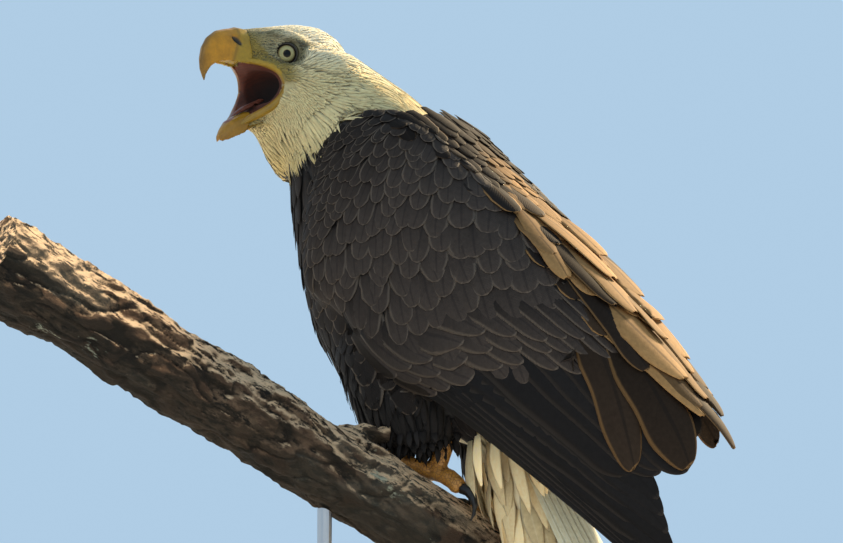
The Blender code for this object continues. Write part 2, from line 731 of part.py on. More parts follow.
def build_stand():
    base = bmesh.new()
    bmesh.ops.create_cone(
        base, cap_ends=True, segments=48, radius1=BASE_RADIUS, radius2=BASE_RADIUS - 0.006, depth=BASE_THICKNESS
    )
    bmesh.ops.translate(base, vec=(0, 0, BASE_THICKNESS / 2), verts=base.verts)
    mesh = bpy.data.meshes.new("stand_base")
    base.to_mesh(mesh)
    base.free()
    finish("stand_base", mesh, "stand_wood")
    way, _, _ = perch_axes()
    perch = grown(bpy.data.objects["perch_branch"].data, "perch_room", GAP)
    for label, station in zip(("upper", "lower"), ROD_STATIONS):
        foot = PERCH_MIDDLE + station * way
        turns = [2 * math.pi * k / 16 for k in range(16)]
        ring = [Vector((foot.x + ROD_RADIUS * math.cos(t), foot.y + ROD_RADIUS * math.sin(t), 0.0)) for t in turns]
        low = [p + Vector((0, 0, BASE_THICKNESS + GAP)) for p in ring]
        high = [p + Vector((0, 0, foot.z - PERCH_RADIUS / 2)) for p in ring]
        rod = combined("stand_rod", loft_mesh("stand_rod", [low, high]), [perch], "DIFFERENCE")
        finish("stand_rod_" + label, rod, "stand_steel")


# The legs: feathered thighs, bare lower shanks, and toes that wrap the branch.

TOES = (
    # name, heading from straight ahead, length, thickness, claw length
    ("inner", -34.0, 0.046, 0.0078, 0.033),
    ("middle", 0.0, 0.060, 0.0078, 0.030),
    ("outer", 36.0, 0.046, 0.0070, 0.026),
    ("hind", 180.0, 0.036, 0.0086, 0.038),
)
FORWARD_HEADING = math.radians(-90.0)


def toe_path(foot_along, heading, length, lift, steps):
    """Points along a toe that leaves the foot at a heading in plan and follows the branch round."""
    flat = Vector((math.cos(PERCH_HEADING), math.sin(PERCH_HEADING), 0.0))
    front = Vector((0, 0, 1)).cross(flat)
    way = Vector((math.cos(heading), math.sin(heading), 0.0))
    along, around = way.dot(flat), way.dot(front)
    points = []
    for k in range(steps):
        reach = length * k / (steps - 1)
        turn = around * reach / (PERCH_RADIUS + lift)
        points.append(perch_point(foot_along + along * reach, turn, lift))
    return points


def claw_rings(start, way, outward, length):
    """A hooked claw that leaves the toe along way and curls against outward."""
    points, radii = [], []
    for k in range(6):
        share = k / 5
        bend = math.radians(112) * share
        arc = length / math.radians(112)
        points.append(start + arc * (math.sin(bend) * way - (1 - math.cos(bend)) * outward))
        radii.append(0.0052 * (1 - share) ** 0.75 + 0.0005)
    return tube_rings(points, radii, 6)


def build_leg(side):
    label = "left" if side > 0 else "right"
    foot_along = -side * FEET_APART / 2
    hub = perch_point(foot_along, 0.0, 0.0105)
    ankle = hub + Vector((side * 0.003, 0.020, 0.044))
    shank = bent_line([ankle, (ankle + hub) / 2 + Vector((0, 0.002, 0)), hub], 5)
    forms = [loft_mesh("shank", tube_rings(shank, [0.0095, 0.0085, 0.0082, 0.0095, 0.0080], 10))]
    claws = []
    for name, turn, length, thick, claw in TOES:
        heading = FORWARD_HEADING + side * math.radians(turn)
        path = toe_path(foot_along, heading, length, thick + 0.0006, 7)
        radii = [thick * s for s in (0.95, 1.0, 0.90, 1.0, 0.88, 0.98, 0.70)]
        forms.append(loft_mesh("toe_" + name, tube_rings(path, radii, 10)))
        way = (path[-1] - path[-2]).normalized()
        _, _, upward = perch_axes()
        axis_point = PERCH_MIDDLE + (path[-1] - PERCH_MIDDLE).dot(perch_axes()[0]) * perch_axes()[0]
        outward = (path[-1] - axis_point).normalized()
        outward = (outward - outward.dot(way) * way).normalized()
        start = path[-1] + way * GAP + outward * 0.0016
        claws.append((name, start, (way + outward * 0.55).normalized(), outward, claw))
    foot = soft_union("foot_" + label, forms, 0.0014, 2, 350)
    branch = grown(bpy.data.objects["perch_branch"].data, "branch_room", GAP)
    trunk = grown(bpy.data.objects["trunk"].data, "trunk_room", GAP)
    foot = combined("foot_" + label, foot, [branch, trunk], "DIFFERENCE")
    room = grown(foot, "foot_room", GAP)
    for name, start, way, outward, length in claws:
        side_way = way.cross(outward).normalized()
        true_out = side_way.cross(way)
        rings = claw_rings(start, way, true_out if true_out.dot(outward) > 0 else -true_out, length)
        claw = combined("claw", loft_mesh("claw", rings), [room, branch], "DIFFERENCE")
        finish(f"claw_{label}_{name}", claw, "claw")
    finish("foot_" + label, foot, "foot_scales")
    claws = [grown(bpy.data.objects[f"claw_{label}_{toe[0]}"].data, "claw_room", GAP) for toe in TOES]
    build_thigh(side, label, ankle, [room, branch, *claws])


def build_thigh(side, label, ankle, rooms):
    """The loose feathered thigh, fullest in front, hanging from the flank to the shank."""
    hem = ankle.z - 0.024
    hip = body_point(0.0, 0.105, 0.0)
    stations = (
        # across, ahead of the ankle, height up from the hem as a share, half width, half depth
        (0.050, 0.050, 1.00, 0.028, 0.040), (0.059, 0.058, 0.68, 0.034, 0.050), (0.060, 0.042, 0.36, 0.034, 0.050),
        (0.054, 0.036, 0.13, 0.029, 0.046), (0.047, 0.032, 0.0, 0.020, 0.034),
    )
    rings = []
    for across, ahead, share, wide, fore in stations:
        middle = Vector((side * across, ankle.y - ahead, hem + share * (hip.z - hem)))
        turns = [2 * math.pi * i / 14 for i in range(14)]
        rings.append([middle + Vector((wide * math.cos(t), fore * math.sin(t), 0.0)) for t in turns])
    around = ("trunk", "tail_coverts_under", f"wing_{label}", f"wing_{label}_primaries")
    rooms += [grown(bpy.data.objects[n].data, n + "_room", GAP) for n in around]
    thigh = combined("thigh_" + label, loft_mesh("thigh", rings), rooms, "DIFFERENCE")
    finish("thigh_" + label, thigh, "brown_plumage")


clear_scene()
EAGLE = new_collection("bald_eagle")
CUTTERS = new_collection("cutters")
CUTTERS.hide_render = True
build_perch()
build_stand()
build_trunk()
build_wing(1)
build_wing(-1)
build_tail()
build_tail_coverts()
build_head()
build_tongue()
build_leg(1)
build_leg(-1)
for leftover in list(CUTTERS.objects):
    bpy.data.objects.remove(leftover)
bpy.data.collections.remove(CUTTERS)
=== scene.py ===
"""The looks of a life-size bald eagle that calls from a sloping branch, on a plain display stand."""

import math

import bmesh
import bpy
import numpy as np
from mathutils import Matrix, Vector, noise
from mathutils.bvhtree import BVHTree
from mathutils.kdtree import KDTree


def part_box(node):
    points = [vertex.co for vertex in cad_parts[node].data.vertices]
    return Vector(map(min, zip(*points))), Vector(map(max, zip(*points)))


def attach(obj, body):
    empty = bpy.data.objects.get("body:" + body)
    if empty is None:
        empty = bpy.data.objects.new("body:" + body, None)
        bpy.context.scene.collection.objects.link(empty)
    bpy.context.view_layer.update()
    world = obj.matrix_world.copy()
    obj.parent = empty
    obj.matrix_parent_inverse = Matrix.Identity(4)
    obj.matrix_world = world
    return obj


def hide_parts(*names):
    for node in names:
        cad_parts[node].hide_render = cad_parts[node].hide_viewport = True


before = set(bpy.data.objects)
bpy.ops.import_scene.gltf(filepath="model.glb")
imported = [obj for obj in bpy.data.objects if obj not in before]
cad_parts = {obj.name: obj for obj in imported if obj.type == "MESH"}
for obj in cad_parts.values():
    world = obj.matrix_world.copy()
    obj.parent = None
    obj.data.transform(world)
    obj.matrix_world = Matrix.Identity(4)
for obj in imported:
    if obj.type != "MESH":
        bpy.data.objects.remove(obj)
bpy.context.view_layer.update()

# The viewpoint: low on the bird's left and a little behind it, as one looks up at a perched bird. The long
# lens keeps the bird's proportions as a distant watcher sees them.
VIEW_TURN, VIEW_RISE = math.radians(120.0), math.radians(-6.0)
VIEW_DISTANCE = 3.3
VIEW_WIDTH = 0.759  # seen at the bird
VIEW_TARGET = Vector((0.042, -0.0286, 0.487))

towards_viewer = Vector((
    math.sin(VIEW_TURN) * math.cos(VIEW_RISE), -math.cos(VIEW_TURN) * math.cos(VIEW_RISE),
    math.sin(VIEW_RISE),
))
bpy.ops.object.camera_add(
    location=VIEW_TARGET + VIEW_DISTANCE * towards_viewer,
    rotation=towards_viewer.to_track_quat("Z", "Y").to_euler(),
)
viewpoint = bpy.context.object
viewpoint.data.sensor_width = 36.0
viewpoint.data.lens = 36.0 * VIEW_DISTANCE / VIEW_WIDTH
bpy.context.scene.camera = viewpoint

# The room: a pale floor under a plain pale blue surround. A warm lamp stands high behind the bird's right,
# two broad soft ones fill the near side and the front, and a small one reaches the shaded end of the branch.
bpy.ops.mesh.primitive_plane_add(size=14.0)
floor = bpy.context.object
floor.name = "floor"
floor_paint = bpy.data.materials.new("pale_floor")
floor_paint.use_nodes = True
floor_look = floor_paint.node_tree.nodes["Principled BSDF"].inputs
floor_look["Base Color"].default_value, floor_look["Roughness"].default_value = (0.74, 0.76, 0.77, 1.0), 0.85
floor.data.materials.append(floor_paint)


def lamp(kind, name, place, aim, power, colour, **settings):
    """A lamp at a place, turned towards its aim."""
    turn = (Vector(place) - Vector(aim)).to_track_quat("Z", "Y").to_euler()
    bpy.ops.object.light_add(type=kind, location=place, rotation=turn)
    light = bpy.context.object
    light.name = name
    for key, value in {"energy": power, "color": colour, **settings}.items():
        setattr(light.data, key, value)


lamp("AREA", "warm_key", (-3.1, 0.45, 2.1), (0.0, 0.05, 0.45), 430.0, (1.0, 0.79, 0.50), size=0.6)
lamp("AREA", "soft_near", (2.6, 0.9, 1.9), (0.0, 0.0, 0.45), 12.0, (1.0, 0.93, 0.80), size=2.2)
lamp("SPOT", "branch_spot", (0.62, -0.02, 1.10), (0.36, -0.21, 0.44), 42.0, (1.0, 0.80, 0.55),
     spot_size=math.radians(20), spot_blend=0.45, shadow_soft_size=0.03)
lamp("AREA", "soft_front", (1.2, -2.8, 1.9), (0.0, 0.0, 0.60), 20.0, (1.0, 0.90, 0.72), size=1.4)
bpy.context.scene.view_settings.view_transform = "Standard"

room = bpy.data.worlds.new("room")
bpy.context.scene.world = room
room.use_nodes = True
surround = room.node_tree.nodes["Background"].inputs
surround["Color"].default_value, surround["Strength"].default_value = (0.47, 0.66, 0.85, 1.0), 0.92

# The body under its coat: one skin over head, neck, trunk, thighs and the fleshy front of the wings. It lies
# inside the outer form by the depth of the feathers, and wears the same colours as they do.
SPINE_FALL = math.radians(42.7)  # the back falls backwards this steeply
NECK_BASE = np.array((0.0, -0.1452, 0.5210))  # where the spine's own measure starts
FLESH = [
    "head", "neck", "trunk", "thigh_left", "thigh_right", "tail_coverts_under", "wing_left", "wing_right"
]
SKIN_GRAIN = 0.0027
SEAM_FILL = 0.0024  # the solids are swelled by this before they're joined, and drawn in again after
COAT_DEPTH = 0.0032  # the skin lies at most this deep under the outer form
WHITE_BORDER = ((-0.081, 0.008), (0.003, 0.160))  # back and height, where the tips of the white hackles end
CROWN_WHITE, NECK_CREAM, THROAT_BUFF = (0.76, 0.690, 0.500), (0.66, 0.530, 0.265), (0.50, 0.350, 0.120)
# The back's tan is partly the feathers' own worn colour, partly painted sunlight along the ridge of the back.
BREAST_BROWN, WING_BROWN, TAN_WORN_AND_SUNLIT = (0.019, 0.0140, 0.0115), (0.0155, 0.0120, 0.0105), (0.440, 0.240, 0.092)
THIGH_BROWN, TAIL_CREAM = (0.0190, 0.0165, 0.0155), (0.74, 0.655, 0.430)
TAIL_ROOT, VENT_SLOPE = np.array((0.0, 0.040, 0.366)), 1.03
# The darker of these two colours is painted shade, laid under the brow and in the creases of the face.
LORE_OLIVE, PAINTED_FOLD_SHADE = (0.22, 0.190, 0.085), (0.085, 0.066, 0.030)
CERE_SKIN = (0.27, 0.190, 0.035)
FACE_FOLDS = (  # lines of painted shade in the skin's creases round the eye and the gape: how far ahead of the eyes, and how high
    ((-0.020, -0.0215), (-0.012, -0.0220), (0.004, -0.0130)), ((-0.006, -0.0195), (0.018, -0.0057)),
)
# The second colour is painted shade deep in the open mouth.
MOUTH_FLESH, MOUTH_DEEP_SHADE = (0.155, 0.027, 0.007), (0.016, 0.006, 0.004)

spine_back = np.array((0.0, math.cos(SPINE_FALL), -math.sin(SPINE_FALL)))
spine_up = np.array((0.0, math.sin(SPINE_FALL), math.cos(SPINE_FALL)))
ASIDE, UP = np.array((1.0, 0.0, 0.0)), np.array((0.0, 0.0, 1.0))
HEAD_TURN = math.radians(73.0)  # the head looks this far to the bird's left
head_middle = np.array((0.0524, -0.1872, 0.6949))
head_front = np.array((math.sin(HEAD_TURN), -math.cos(HEAD_TURN), 0.0))
head_left = np.array((math.cos(HEAD_TURN), math.sin(HEAD_TURN), 0.0))
eye_places = [head_middle - 0.0040 * head_front + side * 0.0194 * head_left - 0.0003 * UP for side in (1, -1)]
SIDES = (("left", 1.0), ("right", -1.0))
luck = np.random.default_rng(11)  # the one source of chance for all feathers
STORED = "plume"  # the name under which a mesh keeps its colours


def unit(vectors):
    return vectors / np.maximum(np.linalg.norm(vectors, axis=-1, keepdims=True), 1e-9)


def body_measure(points):
    """Across to the bird's left, back along the spine, and height square to it."""
    gone = points - NECK_BASE
    return gone[..., 0], gone @ spine_back, gone @ spine_up


def head_measure(points):
    """Ahead along the bill, to the bird's left, and up, from between the eyes."""
    gone = points - head_middle
    return gone @ head_front, gone @ head_left, gone[..., 2]


def at_body(across, back, high):
    return NECK_BASE + back * spine_back + high * spine_up + across * ASIDE


def at_head(ahead, left, up):
    return head_middle + ahead * head_front + left * head_left + up * UP


MOUTH_MIDDLE = at_head(0.030, 0.0, -0.036)


def eased(low, high, values):
    """0 on the low side and 1 on the high side, with a soft rise between. low may be the greater."""
    share = np.clip((values - low) / (high - low), 0.0, 1.0)
    return share * share * (3.0 - 2.0 * share)


def mixed(first, second, share):
    share = np.asarray(share)[..., None]
    return np.asarray(first) * (1 - share) + np.asarray(second) * share


def past_border(points):
    """How far behind the edge of the white plumage a point lies, along the spine."""
    _, back, high = body_measure(points)
    (back0, high0), (back1, high1) = WHITE_BORDER
    return back - (back0 + (back1 - back0) * (high - high0) / (high1 - high0))


def down_tail(points):
    """How far down the slope of the tail points lie, from its root."""
    return (points - TAIL_ROOT) @ np.array((0.0, math.cos(VENT_SLOPE), -math.sin(VENT_SLOPE)))


def plumage(points):
    """The colour of the bird at points near its skin, for feathers and skin alike."""
    ahead, left, up = head_measure(points)
    across, back, high = body_measure(points)
    # The white darkens and warms from the crown down the neck to the throat: partly a buff stain, partly
    # painted shade under the lit crown.
    white = mixed(CROWN_WHITE, NECK_CREAM, eased(0.016, -0.030, up))
    white = mixed(white, THROAT_BUFF, 0.9 * eased(-0.060, -0.100, up))
    socket = np.min([np.linalg.norm(points - eye, axis=-1) for eye in eye_places], axis=0)
    lore = eased(-0.004, 0.020, ahead) * eased(-0.034, -0.014, up) * eased(0.036, 0.020, up)
    white = mixed(white, LORE_OLIVE, 0.85 * np.maximum(lore, eased(0.027, 0.017, socket)))
    white = mixed(white, CERE_SKIN, 0.7 * eased(0.019, 0.034, ahead) * eased(0.022, 0.012, up))
    edge = np.interp(ahead, (-0.007, 0.0175, 0.034), (-0.0205, -0.0057, 0.0140))
    bare = eased(-0.0015, 0.0025, edge - up) * eased(0.000, 0.009, ahead) * eased(-0.032, -0.027, up)
    white = mixed(white, CERE_SKIN, 0.85 * bare * (np.abs(left) > 0.010))
    # Painted shade: a dark band under the shelf of the brow over the eye, and dark lines along the skin's
    # creases.
    brow_shadow = eased(0.0030, 0.0006, np.abs(up - 0.0108 - 0.235 * ahead)) * eased(-0.024, -0.012, ahead)
    brow_shadow = brow_shadow * eased(0.038, 0.024, ahead) * (np.abs(left) > 0.014)
    crease = np.zeros_like(up)
    for folds in FACE_FOLDS:
        line = np.interp(ahead, *np.array(folds).T)
        start, end = folds[0][0], folds[-1][0]
        inside = eased(start - 0.002, start + 0.003, ahead) * eased(end + 0.002, end - 0.003, ahead)
        fold = inside * eased(0.0017, 0.0006, np.abs(up - line)) * (np.abs(left) > 0.014)
        crease = np.maximum(crease, fold)
    white = mixed(white, PAINTED_FOLD_SHADE, np.maximum(0.45 * brow_shadow, 0.55 * crease))
    brown = mixed(BREAST_BROWN, WING_BROWN, eased(0.0, 0.10, back))
    low = eased(0.010, -0.050, high) * eased(0.02, 0.06, back)
    brown = mixed(brown, THIGH_BROWN, low)
    colour = mixed(white, brown, past_border(points) > -0.012)
    vent = (down_tail(points) > -0.006) & (np.abs(across) < 0.046) & (high < 0.030) & (back > 0.21)
    return np.where(vent[..., None], TAIL_CREAM, colour)


def new_object(name, mesh):
    made = bpy.data.objects.new(name, mesh)
    bpy.context.scene.collection.objects.link(made)
    return made


def smooth(mesh):
    mesh.polygons.foreach_set("use_smooth", np.ones(len(mesh.polygons), dtype=bool))


def mesh_copy(name, nodes):
    """The named solids as one new object with its points merged."""
    form = bmesh.new()
    for node in nodes:
        form.from_mesh(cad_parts[node].data)
    bmesh.ops.remove_doubles(form, verts=form.verts, dist=0.00001)
    mesh = bpy.data.meshes.new(name)
    form.to_mesh(mesh)
    form.free()
    return new_object(name, mesh)


def alone(piece):
    bpy.ops.object.select_all(action="DESELECT")
    bpy.context.view_layer.objects.active = piece
    piece.select_set(True)


def modified(piece, kind, **settings):
    """Adds a modifier with these settings and applies it."""
    alone(piece)
    change = piece.modifiers.new(kind.lower(), kind)
    for key, value in settings.items():
        setattr(change, key, value)
    bpy.ops.object.modifier_apply(modifier=change.name)
    return piece


def melted(piece, grain, rounds, grow=0.0):
    """Swells a piece a little, so that seams close, and remakes it as one even smooth skin."""
    if grow:
        modified(piece, "DISPLACE", strength=grow, mid_level=0.0)
    modified(piece, "REMESH", mode="VOXEL", voxel_size=grain)
    if rounds:
        modified(piece, "SMOOTH", factor=0.5, iterations=rounds)
    smooth(piece.data)
    return piece


def of_points(mesh, key="co"):
    values = np.empty(len(mesh.vertices) * 3, dtype=np.float32)
    mesh.vertices.foreach_get(key, values)
    return values.reshape(-1, 3).astype(float)


def put_points(mesh, places):
    mesh.vertices.foreach_set("co", np.ascontiguousarray(places, dtype=np.float32).ravel())
    mesh.update()


def corners_of(mesh):
    """The four corners of each face of a mesh of quads and triangles, a triangle's last corner twice."""
    return np.array([(*face.vertices, face.vertices[-1])[:4] for face in mesh.polygons])


skin = melted(mesh_copy("skin", [*FLESH, "bill_lower"]), SKIN_GRAIN, 0, grow=SEAM_FILL)
bpy.ops.object.mode_set(mode="EDIT")
bpy.ops.mesh.select_all(action="SELECT")
bpy.ops.mesh.separate(type="LOOSE")
bpy.ops.object.mode_set(mode="OBJECT")
shells = sorted(bpy.context.selected_objects, key=lambda shell: len(shell.data.vertices))
skin = shells.pop()
for shell in shells:  # voids shut in between the solids
    bpy.data.objects.remove(shell)
skin.name = skin.data.name = "skin"
corners = corners_of(skin.data)
outer = of_points(skin.data)


def averaged(values):
    """The mean of the faces round each point."""
    sums, hits = np.zeros_like(values), np.zeros((len(values), 1))
    means = values[corners].mean(axis=1)
    for k in range(4):
        np.add.at(sums, corners[:, k], means)
        np.add.at(hits, corners[:, k], 1.0)
    return sums / hits


ahead, _, height = head_measure(outer)
on_body = (eased(-0.045, -0.085, ahead) + eased(-0.06, -0.10, height)).clip(0.18, 1.0)[:, None]
for _ in range(9):
    outer = outer + on_body * (averaged(outer) - outer)
put_points(skin.data, outer)
outward = of_points(skin.data, "normal")
outer = outer - outward * SEAM_FILL
for _ in range(5):
    outward = unit(averaged(outward))
coat_tree = BVHTree.FromPolygons(outer.tolist(), corners.tolist())
face_outward = unit(outward[corners].mean(axis=1))
flesh_tree_faces, flesh_owner, flesh_points = [], [], []
for k, node in enumerate([*FLESH, "bill_lower"]):
    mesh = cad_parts[node].data
    first = len(flesh_points)
    flesh_points += [tuple(v.co) for v in mesh.vertices]
    flesh_tree_faces += [tuple(first + i for i in face.vertices) for face in mesh.polygons]
    flesh_owner += [k] * len(mesh.polygons)
flesh_tree = BVHTree.FromPolygons(flesh_points, flesh_tree_faces)


def owner_of(points):
    """Which of the FLESH nodes each point is nearest to."""
    return np.array([flesh_owner[flesh_tree.find_nearest(p)[2]] for p in points.tolist()])


depth = np.empty(len(outer))
ahead, _, height = head_measure(outer)
wanted = 0.0009 + 0.0006 * eased(0.030, -0.045, ahead)
wanted = wanted + (COAT_DEPTH - 0.0015) * eased(-0.05, 0.0, past_border(outer))
for i, (place, inward) in enumerate(zip(outer.tolist(), (-outward).tolist())):
    far = coat_tree.ray_cast(Vector(place) + 0.0004 * Vector(inward), inward, 0.03)[3]
    depth[i] = min(wanted[i], 0.3 * far) if far else wanted[i]
inner = outer - outward * np.minimum(depth, COAT_DEPTH)[:, None]
put_points(skin.data, inner)


def painted(mesh, colours):
    """Stores one colour for each point, which the material reads."""
    store = mesh.color_attributes.new(STORED, "FLOAT_COLOR", "POINT")
    full = np.ones((len(colours), 4), dtype=np.float32)
    full[:, :3] = colours
    store.data.foreach_set("color", full.ravel())


def chin_line(up):
    """How far ahead the feathers of the chin reach along the side of the lower bill."""
    return 0.028 + 0.427 * (-0.0556 - up).clip(-0.002, 0.030)


def in_mouth(points, lip=0.0):
    """Whether points lie in the open gape, between the two halves of the bill."""
    ahead, left, up = head_measure(points)
    roof = np.interp(
        ahead, (0.0078, 0.0105, 0.018, 0.033, 0.095), (-0.0315, -0.0229, -0.0166, -0.0124, -0.0125)
    )
    floor = np.interp(
        ahead, (0.0078, 0.012, 0.0175, 0.025, 0.038, 0.095),
        (-0.0315, -0.0385, -0.0455, -0.052, -0.060, -0.100)
    )
    inside = (ahead > 0.0078 - lip) & (up < roof + lip) & (up > floor - lip)
    pocket = (((ahead - 0.008) / 0.022) ** 2 + (left / 0.025) ** 2 + ((up + 0.032) / 0.017) ** 2) < 1.15
    return inside | (pocket & (np.abs(left) < 0.024))


def faces_mouth(points, normals):
    """Whether a surface is the lining of the mouth: near its middle and turned towards it."""
    gone = MOUTH_MIDDLE - points
    ahead, left, up = head_measure(points)
    inward = (unit(gone) * normals).sum(-1) > 0.12
    return (
        inward & (np.linalg.norm(gone, axis=-1) < 0.056) & (ahead > -0.020) & (up < -0.006)
        & (np.abs(left) < 0.031)
    )


def mouth_colour(points):
    ahead, _, up = head_measure(points)
    # Painted shade: the flesh darkens deeper into the mouth, and in stripes between the palate's ridges.
    ridges = 0.75 + 0.25 * np.sin(ahead * 900.0 + up * 1500.0)
    return mixed(MOUTH_DEEP_SHADE, MOUTH_FLESH, ridges * eased(-0.012, 0.026, ahead + 0.55 * (up + 0.035)))


ahead, _, height = head_measure(outer)
in_bill = owner_of(outer) == len(FLESH)
inner = inner - outward * np.where(in_bill & (ahead > chin_line(height)), 0.0035, 0.0)[:, None]
put_points(skin.data, inner)
lining = faces_mouth(outer, outward)
painted(skin.data, np.where(lining[:, None], mouth_colour(outer), plumage(outer) * 0.9))


class Wiring:
    """The nodes of one material or shader group, and the few kinds of node that they are made of."""

    def __init__(self, tree):
        self.nodes, self.link = tree.nodes, tree.links.new
        self.shader = tree.nodes.get("Principled BSDF")

    def feed(self, socket, value):
        """Gives a socket another one's output, or a plain value."""
        if isinstance(value, bpy.types.NodeSocket):
            self.link(value, socket)
        elif socket.type == "RGBA" and isinstance(value, tuple):
            socket.default_value = (*value, 1.0)
        else:
            socket.default_value = value

    def sum(self, kind, first, second=0.0, third=0.0):
        made = self.nodes.new("ShaderNodeMath")
        made.operation = kind
        for socket, value in zip(made.inputs, (first, second, third)):
            self.feed(socket, value)
        return made.outputs[0]

    def place(self):
        return self.nodes.new("ShaderNodeTexCoord").outputs["Object"]

    def stored_colour(self):
        made = self.nodes.new("ShaderNodeAttribute")
        made.attribute_name = STORED
        return made.outputs["Color"]

    def noise(self, place, scale, detail=3.0, rough=0.55):
        made = self.nodes.new("ShaderNodeTexNoise")
        for key, value in (("Scale", scale), ("Detail", detail), ("Roughness", rough), ("Vector", place)):
            self.feed(made.inputs[key], value)
        return made.outputs["Fac"]

    def mix(self, factor, first, second, kind="MIX"):
        """A colour mix."""
        made = self.nodes.new("ShaderNodeMix")
        made.data_type, made.blend_type = "RGBA", kind
        for socket, value in ((made.inputs[0], factor), (made.inputs[6], first), (made.inputs[7], second)):
            self.feed(socket, value)
        return made.outputs[2]

    def span(self, value, low, high, to_low=0.0, to_high=1.0):
        """Spreads the values from low to high softly over a new range."""
        made = self.nodes.new("ShaderNodeMapRange")
        made.interpolation_type = "SMOOTHSTEP"
        for key, number in (("From Min", low), ("From Max", high), ("To Min", to_low), ("To Max", to_high)):
            self.feed(made.inputs[key], number)
        self.link(value, made.inputs["Value"])
        return made.outputs["Result"]

    def split(self, vector):
        made = self.nodes.new("ShaderNodeSeparateXYZ")
        self.link(vector, made.inputs[0])
        return made.outputs

    def uv(self, name):
        made = self.nodes.new("ShaderNodeUVMap")
        made.uv_map = name
        return made.outputs["UV"]

    def give(self, key, value):
        """Leads a value into the shader."""
        self.link(value, self.shader.inputs[key])

    def bump(self, height, strength, distance):
        made = self.nodes.new("ShaderNodeBump")
        for key, value in (("Strength", strength), ("Distance", distance), ("Height", height)):
            self.feed(made.inputs[key], value)
        self.give("Normal", made.outputs["Normal"])

    def mottle(self, scale, first, second, strength, distance):
        """Cloudy patches of two colours, a little in relief."""
        cloud = self.noise(self.place(), scale)
        self.give("Base Color", self.mix(cloud, first, second))
        self.bump(cloud, strength, distance)


def new_material(name, roughness, **constants):
    """A material with one Principled shader, and the wiring for its nodes."""
    made = bpy.data.materials.new(name)
    made.use_nodes = True
    wire = Wiring(made.node_tree)
    for key, value in {"Roughness": roughness, **constants}.items():
        wire.shader.inputs[key.replace("_", " ")].default_value = value
    return made, wire


skin_paint, wire = new_material("down_and_skin", 0.85)
grain = wire.noise(wire.place(), 900.0)
wire.give("Base Color", wire.mix(0.35, wire.stored_colour(), grain, "MULTIPLY"))
wire.bump(grain, 0.3, 0.0006)
skin.data.materials.append(skin_paint)
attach(skin, "root")
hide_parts(*FLESH)

# The form that the folded wings and the cape between them give the back, as the solids have it. The feathers
# lie on it; it isn't shown. The tables give heights and widths along the spine, or ends at rows of the wing.
MIDDLE = (
    (-0.090, 0.045), (-0.030, 0.055), (0.030, 0.045), (0.080, 0.037), (0.235, 0.030), (0.370, 0.018),
    (0.505, 0.006),
)
WING_WIDTH = (
    (-0.050, 0.072), (0.0, 0.086), (0.075, 0.096), (0.155, 0.0965), (0.235, 0.0930), (0.300, 0.0800),
    (0.360, 0.0600), (0.420, 0.0400), (0.505, 0.0140),
)
WING_CROWN = (
    (-0.050, 0.134), (-0.030, 0.147), (0.0, 0.154), (0.080, 0.1505), (0.170, 0.1480), (0.220, 0.1470),
    (0.260, 0.1450), (0.300, 0.1420), (0.366, 0.1330), (0.430, 0.1190), (0.505, 0.0650),
)
WING_FLOOR = (
    (-0.050, -0.018), (0.010, -0.057), (0.050, -0.074), (0.100, -0.083), (0.300, -0.075), (0.505, -0.050)
)
WING_LOW_EDGE = (
    (-0.050, 0.050), (-0.020, 0.030), (0.005, 0.006), (0.030, -0.013), (0.055, -0.022), (0.090, -0.008),
    (0.140, -0.015), (0.180, -0.012), (0.222, 0.000), (0.290, 0.0075), (0.420, 0.0066), (0.505, 0.001),
)
WING_TOP_EDGE = (
    (-0.050, 0.050), (0.0, 0.040), (0.080, 0.032), (0.200, 0.016), (0.300, 0.006), (0.505, 0.003)
)
WING_THICKNESS = (
    (-0.050, 0.0060), (-0.020, 0.0110), (0.030, 0.0150), (0.080, 0.0160), (0.170, 0.0150), (0.235, 0.0125),
    (0.300, 0.0095), (0.380, 0.0065), (0.460, 0.0045), (0.505, 0.0030),
)
COVERT_END = (
    (0.0, 0.205), (0.10, 0.225), (0.20, 0.243), (0.30, 0.262), (0.40, 0.292), (0.50, 0.315), (0.60, 0.325),
    (0.80, 0.325), (1.0, 0.310),
)
FEATHER_END = (
    (0.0, 0.492), (0.06, 0.500), (0.13, 0.472), (0.22, 0.436), (0.30, 0.418), (0.40, 0.404), (0.50, 0.408),
    (0.60, 0.422), (0.70, 0.412), (0.80, 0.384), (0.90, 0.414), (0.96, 0.372), (1.0, 0.366),
)
SQUARENESS = 0.75  # below 1 the section round the wings is fuller at its shoulders than an ellipse
GUIDE_OFF = 0.0014  # the guide stands this far off the solids' inner face
GUIDE_SHARE = 0.85  # and has this share of the wings' thickness
TIGHTER_FOLD = 0.040  # the right wing is drawn this much further forward


def read(pairs, at):
    """Values from a short table of (station, value) pairs, eased between its stations."""
    x, y = np.array(pairs).T
    slope = np.concatenate([
        [(y[1] - y[0]) / (x[1] - x[0])], (y[2:] - y[:-2]) / (x[2:] - x[:-2]),
        [(y[-1] - y[-2]) / (x[-1] - x[-2])],
    ])
    at = np.clip(at, x[0], x[-1])
    k = np.clip(np.searchsorted(x, at, side="right") - 1, 0, len(x) - 2)
    span = x[k + 1] - x[k]
    t = (at - x[k]) / span
    return (
        (2 * t**3 - 3 * t**2 + 1) * y[k] + (t**3 - 2 * t**2 + t) * slope[k] * span
        + (3 * t**2 - 2 * t**3) * y[k + 1] + (t**3 - t**2) * slope[k + 1] * span
    )


